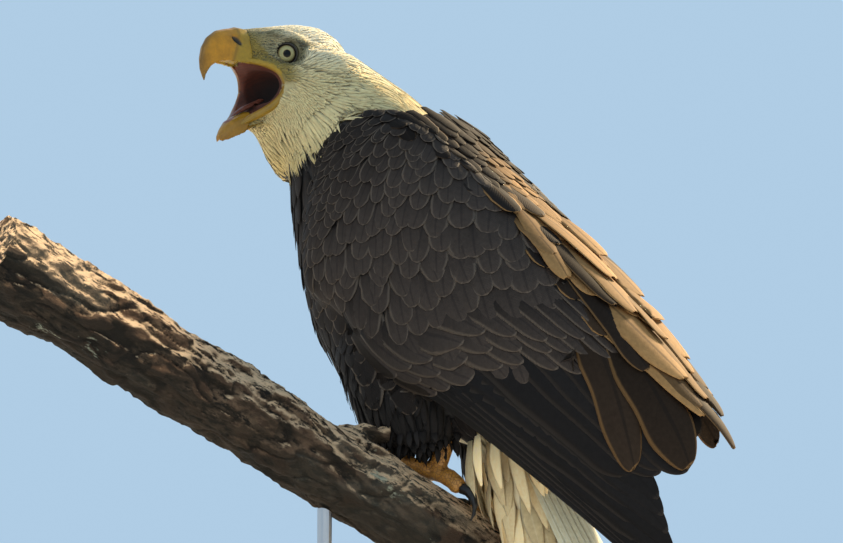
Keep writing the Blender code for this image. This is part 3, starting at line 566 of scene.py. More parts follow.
def section(back, turn, out):
    """A point round the folded wings: turn is 0 at the side and a quarter turn over the spine."""
    middle, wide = read(MIDDLE, back), read(WING_WIDTH, back) + out
    top, floor = read(WING_CROWN, back) + out, read(WING_FLOOR, back) - out
    rise, across = np.sin(turn), np.cos(turn).clip(0)
    over = rise > 0
    across = np.where(over, across**SQUARENESS, across)
    high = np.where(
        over, middle + (top - middle) * np.abs(rise) ** SQUARENESS, middle + (middle - floor) * rise
    )
    return (
        NECK_BASE + back[..., None] * spine_back + high[..., None] * spine_up
        + (wide * across)[..., None] * ASIDE
    )


def wing_edges(back):
    """The turns at which a folded wing has its lower edge and its edge over the back."""
    middle = read(MIDDLE, back)
    low = np.arcsin((read(WING_LOW_EDGE, back) - middle) / (middle - read(WING_FLOOR, back)))
    return low, np.arccos((read(WING_TOP_EDGE, back) / read(WING_WIDTH, back)) ** (1 / SQUARENESS))


def wing_spot(side, back, row, out):
    """A point of a folded wing. row is 0 at its lower edge and 1 at the edge over the back."""
    back, row, out = np.broadcast_arrays(back, row, out)
    low, top = wing_edges(back)
    return section(back, low + row * (top - low), out + GUIDE_OFF) * np.array((side, 1.0, 1.0))


def wing_row(points):
    """The row of the wing that points lie in."""
    across, back, high = body_measure(points)
    middle = read(MIDDLE, back)
    rise = np.where(high > middle, (high - middle) / (read(WING_CROWN, back) - middle), 0.0).clip(0, 1)
    turn = np.arctan2(rise ** (1 / SQUARENESS), (np.abs(across) / read(WING_WIDTH, back)) ** (1 / SQUARENESS))
    fall = ((middle - high) / (middle - read(WING_FLOOR, back))).clip(0, 1)
    turn = np.where(high > middle, turn, -np.arcsin(fall))
    low, top = wing_edges(back)
    return (turn - low) / (top - low)


def grid_faces(lines, stations):
    index = np.arange(lines * stations).reshape(lines, stations)
    return np.stack([index[:-1, :-1], index[:-1, 1:], index[1:, 1:], index[1:, :-1]], -1).reshape(-1, 4)


rest_points, rest_faces, rest_outward = [outer], [corners], [face_outward]
guides = []
back, turn = np.meshgrid(np.linspace(-0.02, 0.40, 60), np.linspace(1.0, math.pi - 1.0, 30), indexing="ij")
cape = section(back, np.minimum(turn, math.pi - turn), read(WING_THICKNESS, back) * GUIDE_SHARE + GUIDE_OFF)
cape[..., 0] *= np.where(turn > math.pi / 2, -1.0, 1.0)
guides.append((cape, 1.0))
for _, side in SIDES:
    row, share = np.meshgrid(np.linspace(0, 1, 40), np.linspace(0, 1, 50), indexing="ij")
    last = read(FEATHER_END, row) - (TIGHTER_FOLD if side < 0 else 0.0)
    back = read(COVERT_END, row) + 0.006 + (last - read(COVERT_END, row)) * share
    guides.append((wing_spot(side, back, row, read(WING_THICKNESS, back) * GUIDE_SHARE), side))
first = len(outer)
for sheet, side in guides:
    lines, stations, _ = sheet.shape
    faces = grid_faces(lines, stations)
    flat = sheet.reshape(-1, 3)
    normal = unit(np.cross(flat[faces[:, 2]] - flat[faces[:, 0]], flat[faces[:, 3]] - flat[faces[:, 1]]))
    middle = flat[faces].mean(axis=1)
    _, back, high = body_measure(middle)
    centre = NECK_BASE + back[:, None] * spine_back + 0.03 * spine_up
    normal *= np.sign((normal * (middle - centre)).sum(-1, keepdims=True))
    rest_points.append(flat)
    rest_faces.append(faces + first)
    rest_outward.append(normal)
    first += len(flat)
rest_outward = np.concatenate(rest_outward)
rest_tree = BVHTree.FromPolygons(np.concatenate(rest_points).tolist(), np.concatenate(rest_faces).tolist())

# The feather coat, made tract by tract. Each feather is a thin closed vane, arched across, that is rooted in
# the skin and follows the body the way the plumage lies, its tip over the root of the next.
BAKE_PATCH, LONG_PATCH, STIFF_PATCH = 0.003, 0.012, 0.040  # how much of the bake's map a feather covers
OVERLAP = 0.37  # the gap between roots, against the mean of a feather's length and width
SNUG = 0.8  # a laid feather bends this far to the form under it, across its width


def settle(points):
    """The nearest places on the outer form, and the way out there."""
    shape = points.shape
    found = [rest_tree.find_nearest(p)[::2] for p in points.reshape(-1, 3).tolist()]
    places = np.array([tuple(place) for place, _ in found]).reshape(shape)
    return places, rest_outward[[face for _, face in found]].reshape(shape)


coarse = mesh_copy("coarse", FLESH)
melted(coarse, 0.006, 2, grow=0.003)
modified(coarse, "DECIMATE", ratio=min(1.0, 6000 / len(coarse.data.polygons)))
modified(coarse, "TRIANGULATE")
alone(coarse)
bpy.ops.object.mode_set(mode="EDIT")
bpy.ops.mesh.select_all(action="SELECT")
bpy.ops.uv.smart_project(angle_limit=math.radians(60), island_margin=0.004)
bpy.ops.object.mode_set(mode="OBJECT")
coarse_tree = BVHTree.FromPolygons(
    [tuple(v.co) for v in coarse.data.vertices], [tuple(f.vertices) for f in coarse.data.polygons]
)
coarse_uv = np.empty(len(coarse.data.loops) * 2)
coarse.data.uv_layers[0].data.foreach_get("uv", coarse_uv)
coarse_uv = coarse_uv.reshape(-1, 3, 2)
coarse_points = of_points(coarse.data)[np.array([tuple(f.vertices) for f in coarse.data.polygons])]
bpy.data.objects.remove(coarse)


def place_on_map(roots):
    """Where roots lie on a flat unwrap of the skin."""
    found = [coarse_tree.find_nearest(p)[::2] for p in roots.tolist()]
    at = np.array([tuple(place) for place, _ in found])
    face = np.array([f for _, f in found])
    a, b, c = coarse_points[face].transpose(1, 0, 2)
    whole = np.linalg.norm(np.cross(b - a, c - a), axis=1) + 1e-12
    share_b = np.linalg.norm(np.cross(at - a, c - a), axis=1) / whole
    share_c = np.linalg.norm(np.cross(b - a, at - a), axis=1) / whole
    corner = coarse_uv[face]
    return (
        corner[:, 0] + share_b[:, None] * (corner[:, 1] - corner[:, 0])
        + share_c[:, None] * (corner[:, 2] - corner[:, 0])
    )


face_area = 0.5 * np.linalg.norm(
    np.cross(outer[corners[:, 2]] - outer[corners[:, 0]], outer[corners[:, 3]] - outer[corners[:, 1]]), axis=1
)
face_middle = outer[corners].mean(axis=1)
face_node = owner_of(face_middle)


def on(*nodes):
    """Which faces of the outer form belong to these nodes."""
    return np.isin(face_node, [FLESH.index(node) for node in nodes])


def always(value):
    """The same number or direction at all points."""
    return lambda points: np.broadcast_to(value, points.shape[:-1] + np.shape(value))


def varied(low, high, roots):
    return luck.uniform(low, high, len(roots))


def shades(spread, count):
    """Factors by which feathers are lighter or darker than the mean."""
    return np.exp(luck.normal(0, spread, (count, 1)))


def thinned(points, gaps):
    """Which of the points stay, so that each keeps its gap to those after it."""
    tree = KDTree(len(points))
    for i, p in enumerate(points.tolist()):
        tree.insert(p, i)
    tree.balance()
    free, kept = np.ones(len(points), dtype=bool), []
    for i in range(len(points)):
        if free[i]:
            kept.append(i)
            for _, j, _ in tree.find_range(points[i], gaps[i]):
                free[j] = False
    return kept


def scattered(allowed, gap, along=None, stretch=1.0):
    """Roots spread evenly over the allowed faces. gap is the least distance between them, or gives it at
    points. along is a direction in which it is stretch times as long."""
    area = face_area * allowed
    gap = gap if callable(gap) else always(gap)
    gaps = gap(face_middle)
    count = int((area / (gaps**2 * stretch)).sum() * 5)
    chance = area / (gaps**2)
    picked = luck.choice(len(area), size=count, p=chance / chance.sum())
    u, v = luck.random((2, count, 1))
    c = outer[corners[picked]]
    points = (c[:, 0] * (1 - u) + c[:, 1] * u) * (1 - v) + (c[:, 3] * (1 - u) + c[:, 2] * u) * v
    scaled = points if along is None else points - (points @ along)[:, None] * along * (1 - 1 / stretch)
    return points[thinned(scaled, gap(points))]


def across_of(vectors, normals):
    return unit(vectors - (vectors * normals).sum(-1, keepdims=True) * normals)


def swung(ways, normals, angle):
    angle = np.broadcast_to(angle, ways.shape[:-1])[..., None]
    return ways * np.cos(angle) + np.cross(normals, ways) * np.sin(angle)


def stations(rows):
    """Shares of a feather's length, closer together towards its tip."""
    return 1 - (1 - np.linspace(0, 1, rows)) ** 1.6


def vane_grid(rows, columns):
    """The rows' shares of a feather's length, and the columns' places from side to side."""
    return stations(rows)[None, :, None], np.linspace(-1, 1, columns)[None, None, :]


def spoon(t, base=0.45, widest=0.55, power=2.0, end=0.5):
    """Half width along a feather: a power of 2 and an end of 0.5 give a round tip, and 1.4 and 1 a point."""
    rise = base + (1 - base) * eased(0.0, 0.35, t)
    return rise * (1 - np.clip((t - widest) / (1 - widest), 0, 1) ** power) ** end


def laid(
    roots, lie, length, width, rows, columns, shape, sink, lift, arch=0.11, mess=0.10, hold=1.0, fray=0.0
):
    """Feathers on the body, as (feather, row, column) points of their upper faces. They start sink deep and
    end lift high, are arched across, lie astray by mess, keep to the body by hold, and are frayed by fray."""
    count = len(roots)
    length, width = np.broadcast_to(length, count), np.broadcast_to(width, count)
    place, normal = settle(roots)
    turn = luck.normal(0, mess, count)
    way = swung(across_of(lie(place), normal), normal, turn)
    line, normals, ways = (np.empty((count, rows, 3)) for _ in range(3))
    t = stations(rows)
    for k, step in enumerate(np.diff(t, append=1.0)):
        line[:, k], normals[:, k], ways[:, k] = place, normal, way
        ahead = place + way * (length * step)[:, None]
        found, normal = settle(ahead)
        share = 1.0 if k < rows // 2 else hold
        moved = ahead + share * (found - ahead)
        went = unit(moved - place + 1e-6 * way)
        way = unit(across_of(went, normal) + 0.6 * swung(across_of(lie(found), normal), normal, turn))
        place = moved
    half = 0.5 * width[:, None] * shape(t)[None, :].clip(0.05, 1.0)
    half = half * np.exp(luck.normal(0, 0.03, half.shape))
    cross = np.linspace(-1, 1, columns)
    aside = np.cross(ways, normals)
    flat = line[:, :, None] + aside[:, :, None] * (half[:, :, None] * cross)[..., None]
    found, _ = settle(flat)
    gone = ((found - flat) * normals[:, :, None]).sum(-1, keepdims=True) * normals[:, :, None]
    flat = flat + SNUG * hold * gone
    rise = np.broadcast_to(sink, count)[:, None] * (t - 1) + np.broadcast_to(lift, count)[:, None] * t**1.5
    top = rise[:, :, None] + arch * half[:, :, None] * (1 - cross**2)
    top = flat + normals[:, :, None] * top[..., None]
    if fray:
        loose = luck.random((count, 2, columns)) * fray * length[:, None, None]
        loose *= np.array((0.35, 1.0))[:, None] * (0.35 + 0.65 * np.abs(cross))
        top[:, -2:] -= ways[:, -2:, None] * loose[..., None]
    return top


def hung(roots, way, length, width, rows, columns, shape, lift, fray, mess=0.10, arch=0.12):
    """Loose feathers that hang clear of the body from their roots."""
    place, normal = settle(roots)
    way = unit(way + luck.normal(0, mess, place.shape))
    normal = unit(across_of(normal, way))
    t, cross = stations(rows), np.linspace(-1, 1, columns)
    line = place[:, None] + way[:, None] * (length[:, None] * t)[..., None]
    line = line + normal[:, None] * (lift * np.sin(math.pi * t) - 0.0025 * (1 - t))[None, :, None]
    half = 0.5 * width[:, None] * shape(t)[None, :].clip(0.05, 1.0)
    half = half * np.exp(luck.normal(0, 0.05, half.shape))
    aside = np.cross(way, normal)[:, None, None] * (half[:, :, None] * cross)[..., None]
    rise = arch * half[:, :, None] * (1 - cross**2)
    top = line[:, :, None] + aside + normal[:, None, None] * rise[..., None]
    loose = luck.random((len(roots), 2, columns)) * fray * length[:, None, None]
    top[:, -2:] -= way[:, None, None] * (loose * np.array((0.3, 1.0))[:, None])[..., None]
    return top


def vane_piece(name, batches, material, patch=BAKE_PATCH):
    """Joins batches of feathers, each of upper faces, root and tip colours and places on the map."""
    points, loops, sizes, vane_uv, bake_uv, tints = [], [], [], [], [], []
    first = 0
    for top, root_tint, tip_tint, map_place in batches:
        count, rows, columns, _ = top.shape
        index = np.arange(rows * columns).reshape(rows, columns)
        quads = grid_faces(rows, columns)
        below = np.stack([index[:-1, 0], index[1:, 0], index[1:, -1], index[:-1, -1]], -1)
        ring = [*quads.ravel(), *below.ravel(), *index[0, ::-1], *index[-1]]
        each = [4] * (len(quads) + len(below)) + [columns, columns]
        start = first + rows * columns * np.arange(count)[:, None]
        loops.append((start + np.array(ring)).ravel())
        sizes.append(np.tile(each, count))
        u, v = (index % columns) / (columns - 1), stations(rows)[index // columns]
        uv = np.stack([u.ravel()[ring], v.ravel()[ring]], -1)
        vane_uv.append(np.tile(uv, (count, 1)))
        bake_uv.append((map_place[:, None] + patch * (uv - 0.5)).reshape(-1, 2))
        share = (v.ravel() ** 0.8)[None, :, None]
        tints.append((root_tint[:, None] * (1 - share) + tip_tint[:, None] * share).reshape(-1, 3))
        points.append(top.reshape(-1, 3))
        first += count * rows * columns
    points, loops, sizes = np.concatenate(points), np.concatenate(loops), np.concatenate(sizes)
    mesh = bpy.data.meshes.new(name)
    mesh.vertices.add(len(points))
    mesh.loops.add(len(loops))
    mesh.polygons.add(len(sizes))
    mesh.loops.foreach_set("vertex_index", loops.astype(np.int32))
    mesh.polygons.foreach_set("loop_start", (np.cumsum(sizes) - sizes).astype(np.int32))
    mesh.vertices.foreach_set("co", points.astype(np.float32).ravel())
    for label, uv in (("Vane", vane_uv), ("OFBake", bake_uv)):
        mesh.uv_layers.new(name=label).data.foreach_set("uv", np.concatenate(uv).astype(np.float32).ravel())
    painted(mesh, np.concatenate(tints))
    smooth(mesh)
    mesh.update(calc_edges=True)
    piece = new_object(name, mesh)
    mesh.materials.append(material)
    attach(piece, "root")
    return piece


def vane_marks():
    """The shader group shared by all feathers: a shaft, a rim and the fine slanting barbs."""
    group = bpy.data.node_groups.new("vane_marks", "ShaderNodeTree")
    group.interface.new_socket("Place", in_out="INPUT", socket_type="NodeSocketVector")
    for way, names in (("INPUT", ("Barbs", "Start")), ("OUTPUT", ("Shaft", "Rim", "Relief"))):
        for name in names:
            group.interface.new_socket(name, in_out=way, socket_type="NodeSocketFloat")
    wire = Wiring(group)
    taken, given = wire.nodes.new("NodeGroupInput"), wire.nodes.new("NodeGroupOutput")

    place = wire.split(taken.outputs["Place"])
    off = wire.sum("ABSOLUTE", wire.sum("MULTIPLY_ADD", place["X"], 2.0, -1.0))
    wire.link(wire.span(off, 0.13, 0.03), given.inputs["Shaft"])
    round_end = wire.sum("POWER", place["Y"], 9.0)
    edge = wire.sum("MAXIMUM", off, wire.sum("MULTIPLY", round_end, 1.02))
    rim = wire.span(edge, 0.82, 0.95)
    wire.link(taken.outputs["Start"], rim.node.inputs["From Min"])
    wire.link(rim, given.inputs["Rim"])
    slant = wire.sum("MULTIPLY_ADD", off, -0.22, place["Y"])
    wave = wire.sum("SINE", wire.sum("MULTIPLY", slant, taken.outputs["Barbs"]))
    ridge = wire.span(off, 0.10, 0.0, 0.0, 2.0)
    wire.link(wire.sum("ADD", wave, ridge), given.inputs["Relief"])
    return group


marks = vane_marks()


def feather_paint(name, rim, shaft, barbs, roughness, sheen, relief=0.25, start=0.82):
    """A feather's finish over its stored colour. rim and shaft each give a colour and how far they go towards
    it. The rim begins at start of the half width, and barbs gives how close the barbs lie."""
    made, wire = new_material(
        name, roughness, Sheen_Weight=sheen, Sheen_Roughness=0.5, Specular_IOR_Level=0.07
    )
    group = wire.nodes.new("ShaderNodeGroup")
    group.node_tree = marks
    group.inputs["Barbs"].default_value, group.inputs["Start"].default_value = barbs, start
    wire.link(wire.uv("Vane"), group.inputs["Place"])
    fleck = wire.noise(wire.place(), 260.0, 2.0)
    colour = wire.mix(0.30, wire.stored_colour(), fleck, "OVERLAY")
    for key, (tone, share) in (("Rim", rim), ("Shaft", shaft)):
        colour = wire.mix(wire.span(group.outputs[key], 0.0, 1.0, 0.0, share), colour, tone)
    wire.give("Base Color", colour)
    wire.bump(group.outputs["Relief"], relief, 0.00035)
    return made


def tinted(roots, spread, towards=None, share=0.0):
    """Root and tip colours of feathers, each a little lighter or darker than its neighbours."""
    base = plumage(roots) * shades(spread, len(roots))
    tip = base if towards is None else mixed(base, towards, share)
    # The roots are darker copies of the tips: painted shade where each feather lies under the next.
    return base * np.where(base.mean(-1, keepdims=True) > 0.25, 0.90, 0.75), tip


def tract(roots, top, spread, towards=None, share=0.0):
    return top, *tinted(roots, spread, towards, share), place_on_map(roots)


# The short white feathers of the head: solid vanes like small scales round the bill and the eyes, longer
# towards the nape. They're rooted in the skin from the bill backwards, each over the next.
LONGEST_ON_HEAD = 0.030


def head_lie(points):
    """Feathers run back from the bill, over the head and down the neck."""
    ahead, _, up = head_measure(points)
    back = -head_front - 0.55 * UP * eased(0.0, -0.05, up)[..., None]
    down = at_body(0.0, 0.25, 0.03) - points
    share = np.maximum(eased(-0.030, -0.075, ahead), eased(-0.050, -0.095, up))
    return mixed(unit(back), unit(down), share)


def head_length(points):
    ahead, _, up = head_measure(points)
    length = np.interp(
        ahead, (-0.09, -0.06, -0.03, 0.0, 0.018, 0.034), (0.030, 0.022, 0.013, 0.0085, 0.0060, 0.0042)
    )
    return np.maximum(length, 0.026 * eased(-0.040, -0.095, up))


def head_width(points):
    return 0.0068 * (head_length(points) / LONGEST_ON_HEAD) ** 0.72


white_coat = feather_paint(
    "white_feathers", rim=((0.80, 0.73, 0.52), 0.12), shaft=((0.80, 0.73, 0.52), 0.15), barbs=60.0,
    roughness=0.80, sheen=0.10, relief=0.05
)
ahead, _, up = head_measure(face_middle)
on_head = on("head") | ((face_node == len(FLESH)) & (ahead < chin_line(up)))
near_eye = np.min([np.linalg.norm(face_middle - eye, axis=1) for eye in eye_places], axis=0) < 0.0165
bare = in_mouth(face_middle, 0.0040) | faces_mouth(face_middle, face_outward) | near_eye | (ahead > 0.0345)
roots = scattered(on_head & ~bare, lambda p: OVERLAP * np.sqrt(head_length(p) * head_width(p)))
size = head_length(roots) / LONGEST_ON_HEAD
top = laid(roots, head_lie, head_length(roots) * varied(0.85, 1.15, roots), head_width(roots), 5, 4,
           lambda t: spoon(t, 0.6, 0.45, 1.8, 0.7), 0.0005 + 0.0005 * size, 0.0002 + 0.0002 * size,
           arch=0.025, mess=0.05)
vane_piece("coat_head", [tract(roots, top, 0.04)], white_coat)

# The hackles of the neck: long narrow white feathers that end in a point, densely laid from the head down to
# the ragged border with the brown ones. They have the head's finish.
on_neck = on("neck") & (past_border(face_middle) < -0.008)
down_neck = unit(at_body(0.0, 0.2, 0.0) - head_middle)
roots = scattered(on_neck, 0.0025, down_neck, 1.7)
length = np.interp(past_border(roots), (-0.14, -0.07, -0.02), (0.026, 0.036, 0.032))
length = length * (1 + 0.35 * eased(-0.070, -0.110, head_measure(roots)[2]))
top = laid(roots, head_lie, length * varied(0.8, 1.2, roots), length * 0.125, 6, 5,
           lambda t: spoon(t, 0.6, 0.35, 1.5, 1.0), 0.0008, 0.0004, arch=0.03, mess=0.045, fray=0.10)
vane_piece("coat_neck", [tract(roots, top, 0.05)], white_coat)

# The dark contour feathers of breast, flanks and belly: solid vanes, rooted in the skin in loose overlapping
# rows. They run back along the spine above, and down and back below.
dark_coat = feather_paint(
    "brown_feathers", rim=((0.060, 0.046, 0.036), 0.50), shaft=((0.035, 0.027, 0.022), 0.4), barbs=110.0,
    roughness=0.70, sheen=0.02
)


down_breast = unit(0.45 * spine_back - 0.55 * UP)


def body_lie(points):
    """Back along the spine on top, and down and back on the breast and belly."""
    _, _, high = body_measure(points)
    return mixed(down_breast, spine_back, eased(0.06, 0.13, high))


across, back, high = body_measure(face_middle)
vent = (plumage(face_middle)[:, 0] > 0.3) & (back > 0.1)
dark = past_border(face_middle) > -0.010
by_vent = (back > 0.185) & (np.abs(across) < 0.050) & (high < 0.034)
on_breast = on("trunk") & (high < 0.135) & ~vent & ~by_vent & dark
roots = scattered(on_breast, 0.0085, down_breast, 1.9)
top = laid(roots, body_lie, varied(0.036, 0.050, roots), varied(0.012, 0.016, roots), 7, 7,
           lambda t: spoon(t, 0.5, 0.6, 1.9, 0.6), 0.0022, 0.0014, mess=0.08, fray=0.05)
vane_piece("coat_breast", [tract(roots, top, 0.10)], dark_coat)

# The coverts of the wing lie like tiles: small ones at the shoulder that point down, and larger ones further
# back that swing round to lie along the wing.
COVERT_BROWN = (0.055, 0.0420, 0.0350)
# the long last rows: how far past the covert line they end, their shift as a share of a feather, and their
# lift
GREAT_COVERTS = (0.014, 0.0, 0.0012), (-0.010, 0.5, 0.0020), (-0.030, 0.0, 0.0028)
covert_coat = feather_paint(
    "covert_feathers", rim=((0.135, 0.108, 0.086), 0.72), shaft=((0.014, 0.011, 0.011), 0.4), barbs=120.0,
    roughness=0.72, sheen=0.01, start=0.66
)


def wing_lie(points):
    across, back, _ = body_measure(points)
    _, normal = settle(points)
    down = np.cross(spine_back, normal) * np.where(across > 0, 1.0, -1.0)[:, None]
    angle = np.radians(np.interp(back, (-0.05, -0.03, 0.05, 0.12, 0.20, 0.30), (84, 78, 58, 42, 22, 8)))
    angle = angle * (1 - 0.55 * eased(0.75, 1.0, wing_row(points)))
    return spine_back * np.cos(angle)[:, None] + unit(down) * np.sin(angle)[:, None]


def covert_width(points):
    _, back, _ = body_measure(points)
    return np.interp(
        back, (-0.04, 0.02, 0.06, 0.12, 0.20, 0.28), (0.0120, 0.0150, 0.0195, 0.0255, 0.0300, 0.0310)
    )


def wing_thick(back, row):
    """How far the folded wing's outer face stands over its inner one. It thins towards the edges."""
    edge = np.minimum(row, 1 - row).clip(0, 0.10) / 0.10
    return read(WING_THICKNESS, back) * (0.35 + 0.65 * np.sin(math.pi / 2 * edge))


def wing_vanes(
    side, centres, half_row, starts, ends, widest, over, rows=12, columns=9, tilt=0.0014, arch=0.0010
):
    """Feathers along the rows of a folded wing. Each has its lower edge over its neighbour below."""
    centres, half_row, starts, ends = (
        np.broadcast_to(v, len(centres))[:, None, None] for v in (centres, half_row, starts, ends)
    )
    t, cross = vane_grid(rows, columns)
    back = starts + (ends - starts) * t
    shape = spoon(t, 0.8, widest, 2.2, 0.55).clip(0.05, 1) * np.ones((len(centres), 1, 1))
    row = centres + half_row * cross * shape
    out = (
        wing_thick(back, row.clip(0, 1)) * (0.86 if over else 0.80) - tilt * cross * shape
        + arch * (1 - cross**2)
    )
    out = out + (over * (0.25 + 0.75 * t) if over else 0.0006)
    return wing_spot(side, back, row, out)


for side, sign in SIDES:
    covered = read(COVERT_END, wing_row(face_middle).clip(0, 1)) - body_measure(face_middle)[1]
    roots = scattered(on("wing_" + side) & (covered > 0.040) & dark, lambda p: 0.52 * covert_width(p))
    width = covert_width(roots)
    top = laid(roots, wing_lie, width * varied(1.6, 2.0, roots), width * varied(0.90, 1.1, roots), 8, 9,
               lambda t: spoon(t, 0.6, 0.60, 2.0, 0.5), 0.0020, 0.0013, mess=0.14)
    share = 0.95 * eased(-0.025, 0.070, body_measure(roots)[1]) * eased(-0.05, 0.30, wing_row(roots))
    batches = [tract(roots, top, 0.12, COVERT_BROWN, share)]
    for reach, shift, over in GREAT_COVERTS:
        centres = (np.arange(15) + 0.3 + shift) / 15 + luck.uniform(-0.006, 0.006, 15)
        ends = read(COVERT_END, centres) + reach + luck.uniform(-0.004, 0.004, 15)
        top = wing_vanes(sign, centres, 0.052, ends - 0.062, ends, 0.62, over, 12, 7)
        batches.append(tract(top[:, 1, 3], top, 0.10, COVERT_BROWN, 0.85))
    vane_piece("coat_wing_" + side, batches, covert_coat)

# The mantle and the scapulars: a cape of broad feathers over the back, between the wings. They're solid vanes
# like the others, rooted in the skin under the guide, and those near the spine are tan: partly worn, partly
# painted sunlight.
cape_coats = [
    feather_paint(name, rim, shaft, barbs=150.0, roughness=0.80, sheen=0.0, relief=0.15)
    for name, rim, shaft in (
        ("mantle_feathers", ((0.095, 0.062, 0.038), 0.60), ((0.020, 0.014, 0.011), 0.5)),
        ("cape_feathers", ((0.42, 0.235, 0.092), 0.62), ((0.050, 0.026, 0.013), 0.6)),
    )
]
# each zone: from and to along the back, how far aside, gap between roots, width, length, lift
CAPE = (
    (-0.045, 0.110, 0.062, 0.0105, 0.0185, 0.040, 0.0014),
    (0.085, 0.270, 0.046, 0.0160, 0.0290, 0.074, 0.0034),
)
for zone, (first, last, aside, gap, wide, long, lift) in enumerate(CAPE):
    across, back = luck.uniform(-aside, aside, 6000), luck.uniform(first, last, 6000)
    turn = np.arccos((np.abs(across) / read(WING_WIDTH, back)).clip(0, 1) ** (1 / SQUARENESS))
    points = section(back, turn, read(WING_THICKNESS, back) * GUIDE_SHARE)
    points[:, 0] *= np.sign(across)
    points = points[past_border(points) > -0.004]
    roots = points[thinned(points, np.full(len(points), gap))]
    top = laid(roots, always(spine_back), long * varied(0.85, 1.15, roots),
               wide * varied(0.85, 1.1, roots), 12, 9, lambda t: spoon(t, 0.6, 0.66, 2.0, 0.5),
               0.0030, lift * varied(0.5, 1.6, roots), mess=0.13, fray=0.04)
    back = body_measure(roots)[1]
    dull = plumage(roots) * shades(0.10, len(roots)) * (1 - 0.45 * eased(0.06, 0.0, back))[:, None]
    middle = np.interp(back, (0.03, 0.10, 0.18), (0.014, 0.026, 0.044))
    # The tan band along the spine is partly worn colour, partly painted sunlight; the roots take less of it,
    # as painted shade.
    share = eased(0.02, 0.08, back) * eased(0.008, -0.008, np.abs(roots[:, 0]) - middle)
    share = share * varied(0.45, 1.0, roots) ** 0.7
    feathers = top, mixed(dull, TAN_WORN_AND_SUNLIT, 0.25 * share), mixed(dull, TAN_WORN_AND_SUNLIT, share), place_on_map(roots)
    vane_piece(f"coat_cape_{zone}", [feathers], cape_coats[zone])

# The longest scapulars and tertials, fourteen on each side. They hang loose over the folded wings, broad and
# dark or tan, the tan partly worn and partly painted sunlight, and stand off them by their lift. The right
# wing's end further forward, as that wing is more folded.
HANGING = (
    # back and row of the root, back and row of the tip, half width, lift, how tan
    (0.262, 0.66, 0.396, 0.262, 0.0205, 0.0028, 0.04), (0.285, 0.74, 0.428, 0.500, 0.0225, 0.0042, 0.04),
    (0.262, 0.67, 0.404, 0.835, 0.0085, 0.0060, 0.80), (0.222, 0.82, 0.345, 0.700, 0.0145, 0.0056, 0.03),
    (0.320, 0.86, 0.436, 1.000, 0.0105, 0.0064, 0.10), (0.290, 0.83, 0.395, 0.880, 0.0140, 0.0058, 0.25),
    (0.192, 0.96, 0.292, 0.935, 0.0165, 0.0076, 0.75), (0.250, 0.85, 0.366, 0.925, 0.0205, 0.0070, 0.95),
    (0.280, 1.00, 0.388, 1.010, 0.0160, 0.0062, 0.70), (0.140, 0.93, 0.240, 0.735, 0.0125, 0.0062, 0.90),
    (0.172, 0.91, 0.280, 0.850, 0.0130, 0.0070, 0.06), (0.150, 1.01, 0.250, 1.000, 0.0165, 0.0082, 0.90),
    (0.222, 1.01, 0.322, 1.030, 0.0150, 0.0080, 0.75), (0.155, 0.86, 0.212, 0.800, 0.0115, 0.0058, 0.55),
)
HANGING_SHORTER = 0.030  # the right wing's end this much further forward
hanging_coat = feather_paint(
    "hanging_feathers", rim=((0.40, 0.225, 0.090), 0.30), shaft=((0.010, 0.008, 0.007), 0.5), barbs=260.0,
    roughness=0.80, sheen=0.0, relief=0.06
)
for side, sign in SIDES:
    b0, r0, b1, r1, half, lift, tan = (v[:, None, None] for v in np.array(HANGING).T)
    if sign < 0:
        b1, r1 = b1 - HANGING_SHORTER + luck.uniform(-0.006, 0.006, b1.shape), r1 + 0.02
    t, cross = vane_grid(24, 11)
    back, middle_row = b0 + (b1 - b0) * t, r0 + (r1 - r0) * t**1.2
    here = wing_spot(sign, back, middle_row, 0.0)
    scale = (np.linalg.norm(wing_spot(sign, back, middle_row - 0.02, 0.0) - here, axis=-1) / 0.02).clip(0.06)
    shape = spoon(t, 0.55, 0.66, 2.0, 0.5).clip(0.04, 1) * (1 + 0.03 * np.sin(17 * t + 40 * half + 60 * r0))
    sway = 0.16 * np.sin(math.pi * t) * np.sin(50 * (b0 + r0))
    row = (middle_row + half * (cross * shape + sway) / scale).clip(0.0, 1.06)
    out = (
        0.0004 + read(WING_THICKNESS, back) * 0.86 + lift * t**0.6 - 0.0016 * (1 - t) ** 4
        - 0.0016 * cross * shape
    )
    top = wing_spot(sign, back, row, out + 0.0012 * (1 - cross**2))
    worn = luck.uniform(0, 0.018, (len(HANGING), 2, 11)) * (0.25 + tan[..., 0, :, None])
    worn = worn * np.array((0.35, 1.0))[:, None]
    top[:, -2:] -= worn[..., None] * spine_back
    # Each feather's tan is partly worn colour and partly painted sunlight.
    colours = mixed((0.0130, 0.0105, 0.0100), TAN_WORN_AND_SUNLIT, tan[:, 0, 0])
    colours = colours * luck.uniform(0.85, 1.12, (len(HANGING), 1))
    roots = top[:, 2, 5]
    # The roots, much darker than the tips, are painted shade under the feathers that lie over them.
    feathers = top, colours * 0.4, colours, place_on_map(roots)
    vane_piece(f"hanging_{side}", [feathers], hanging_coat, LONG_PATCH)

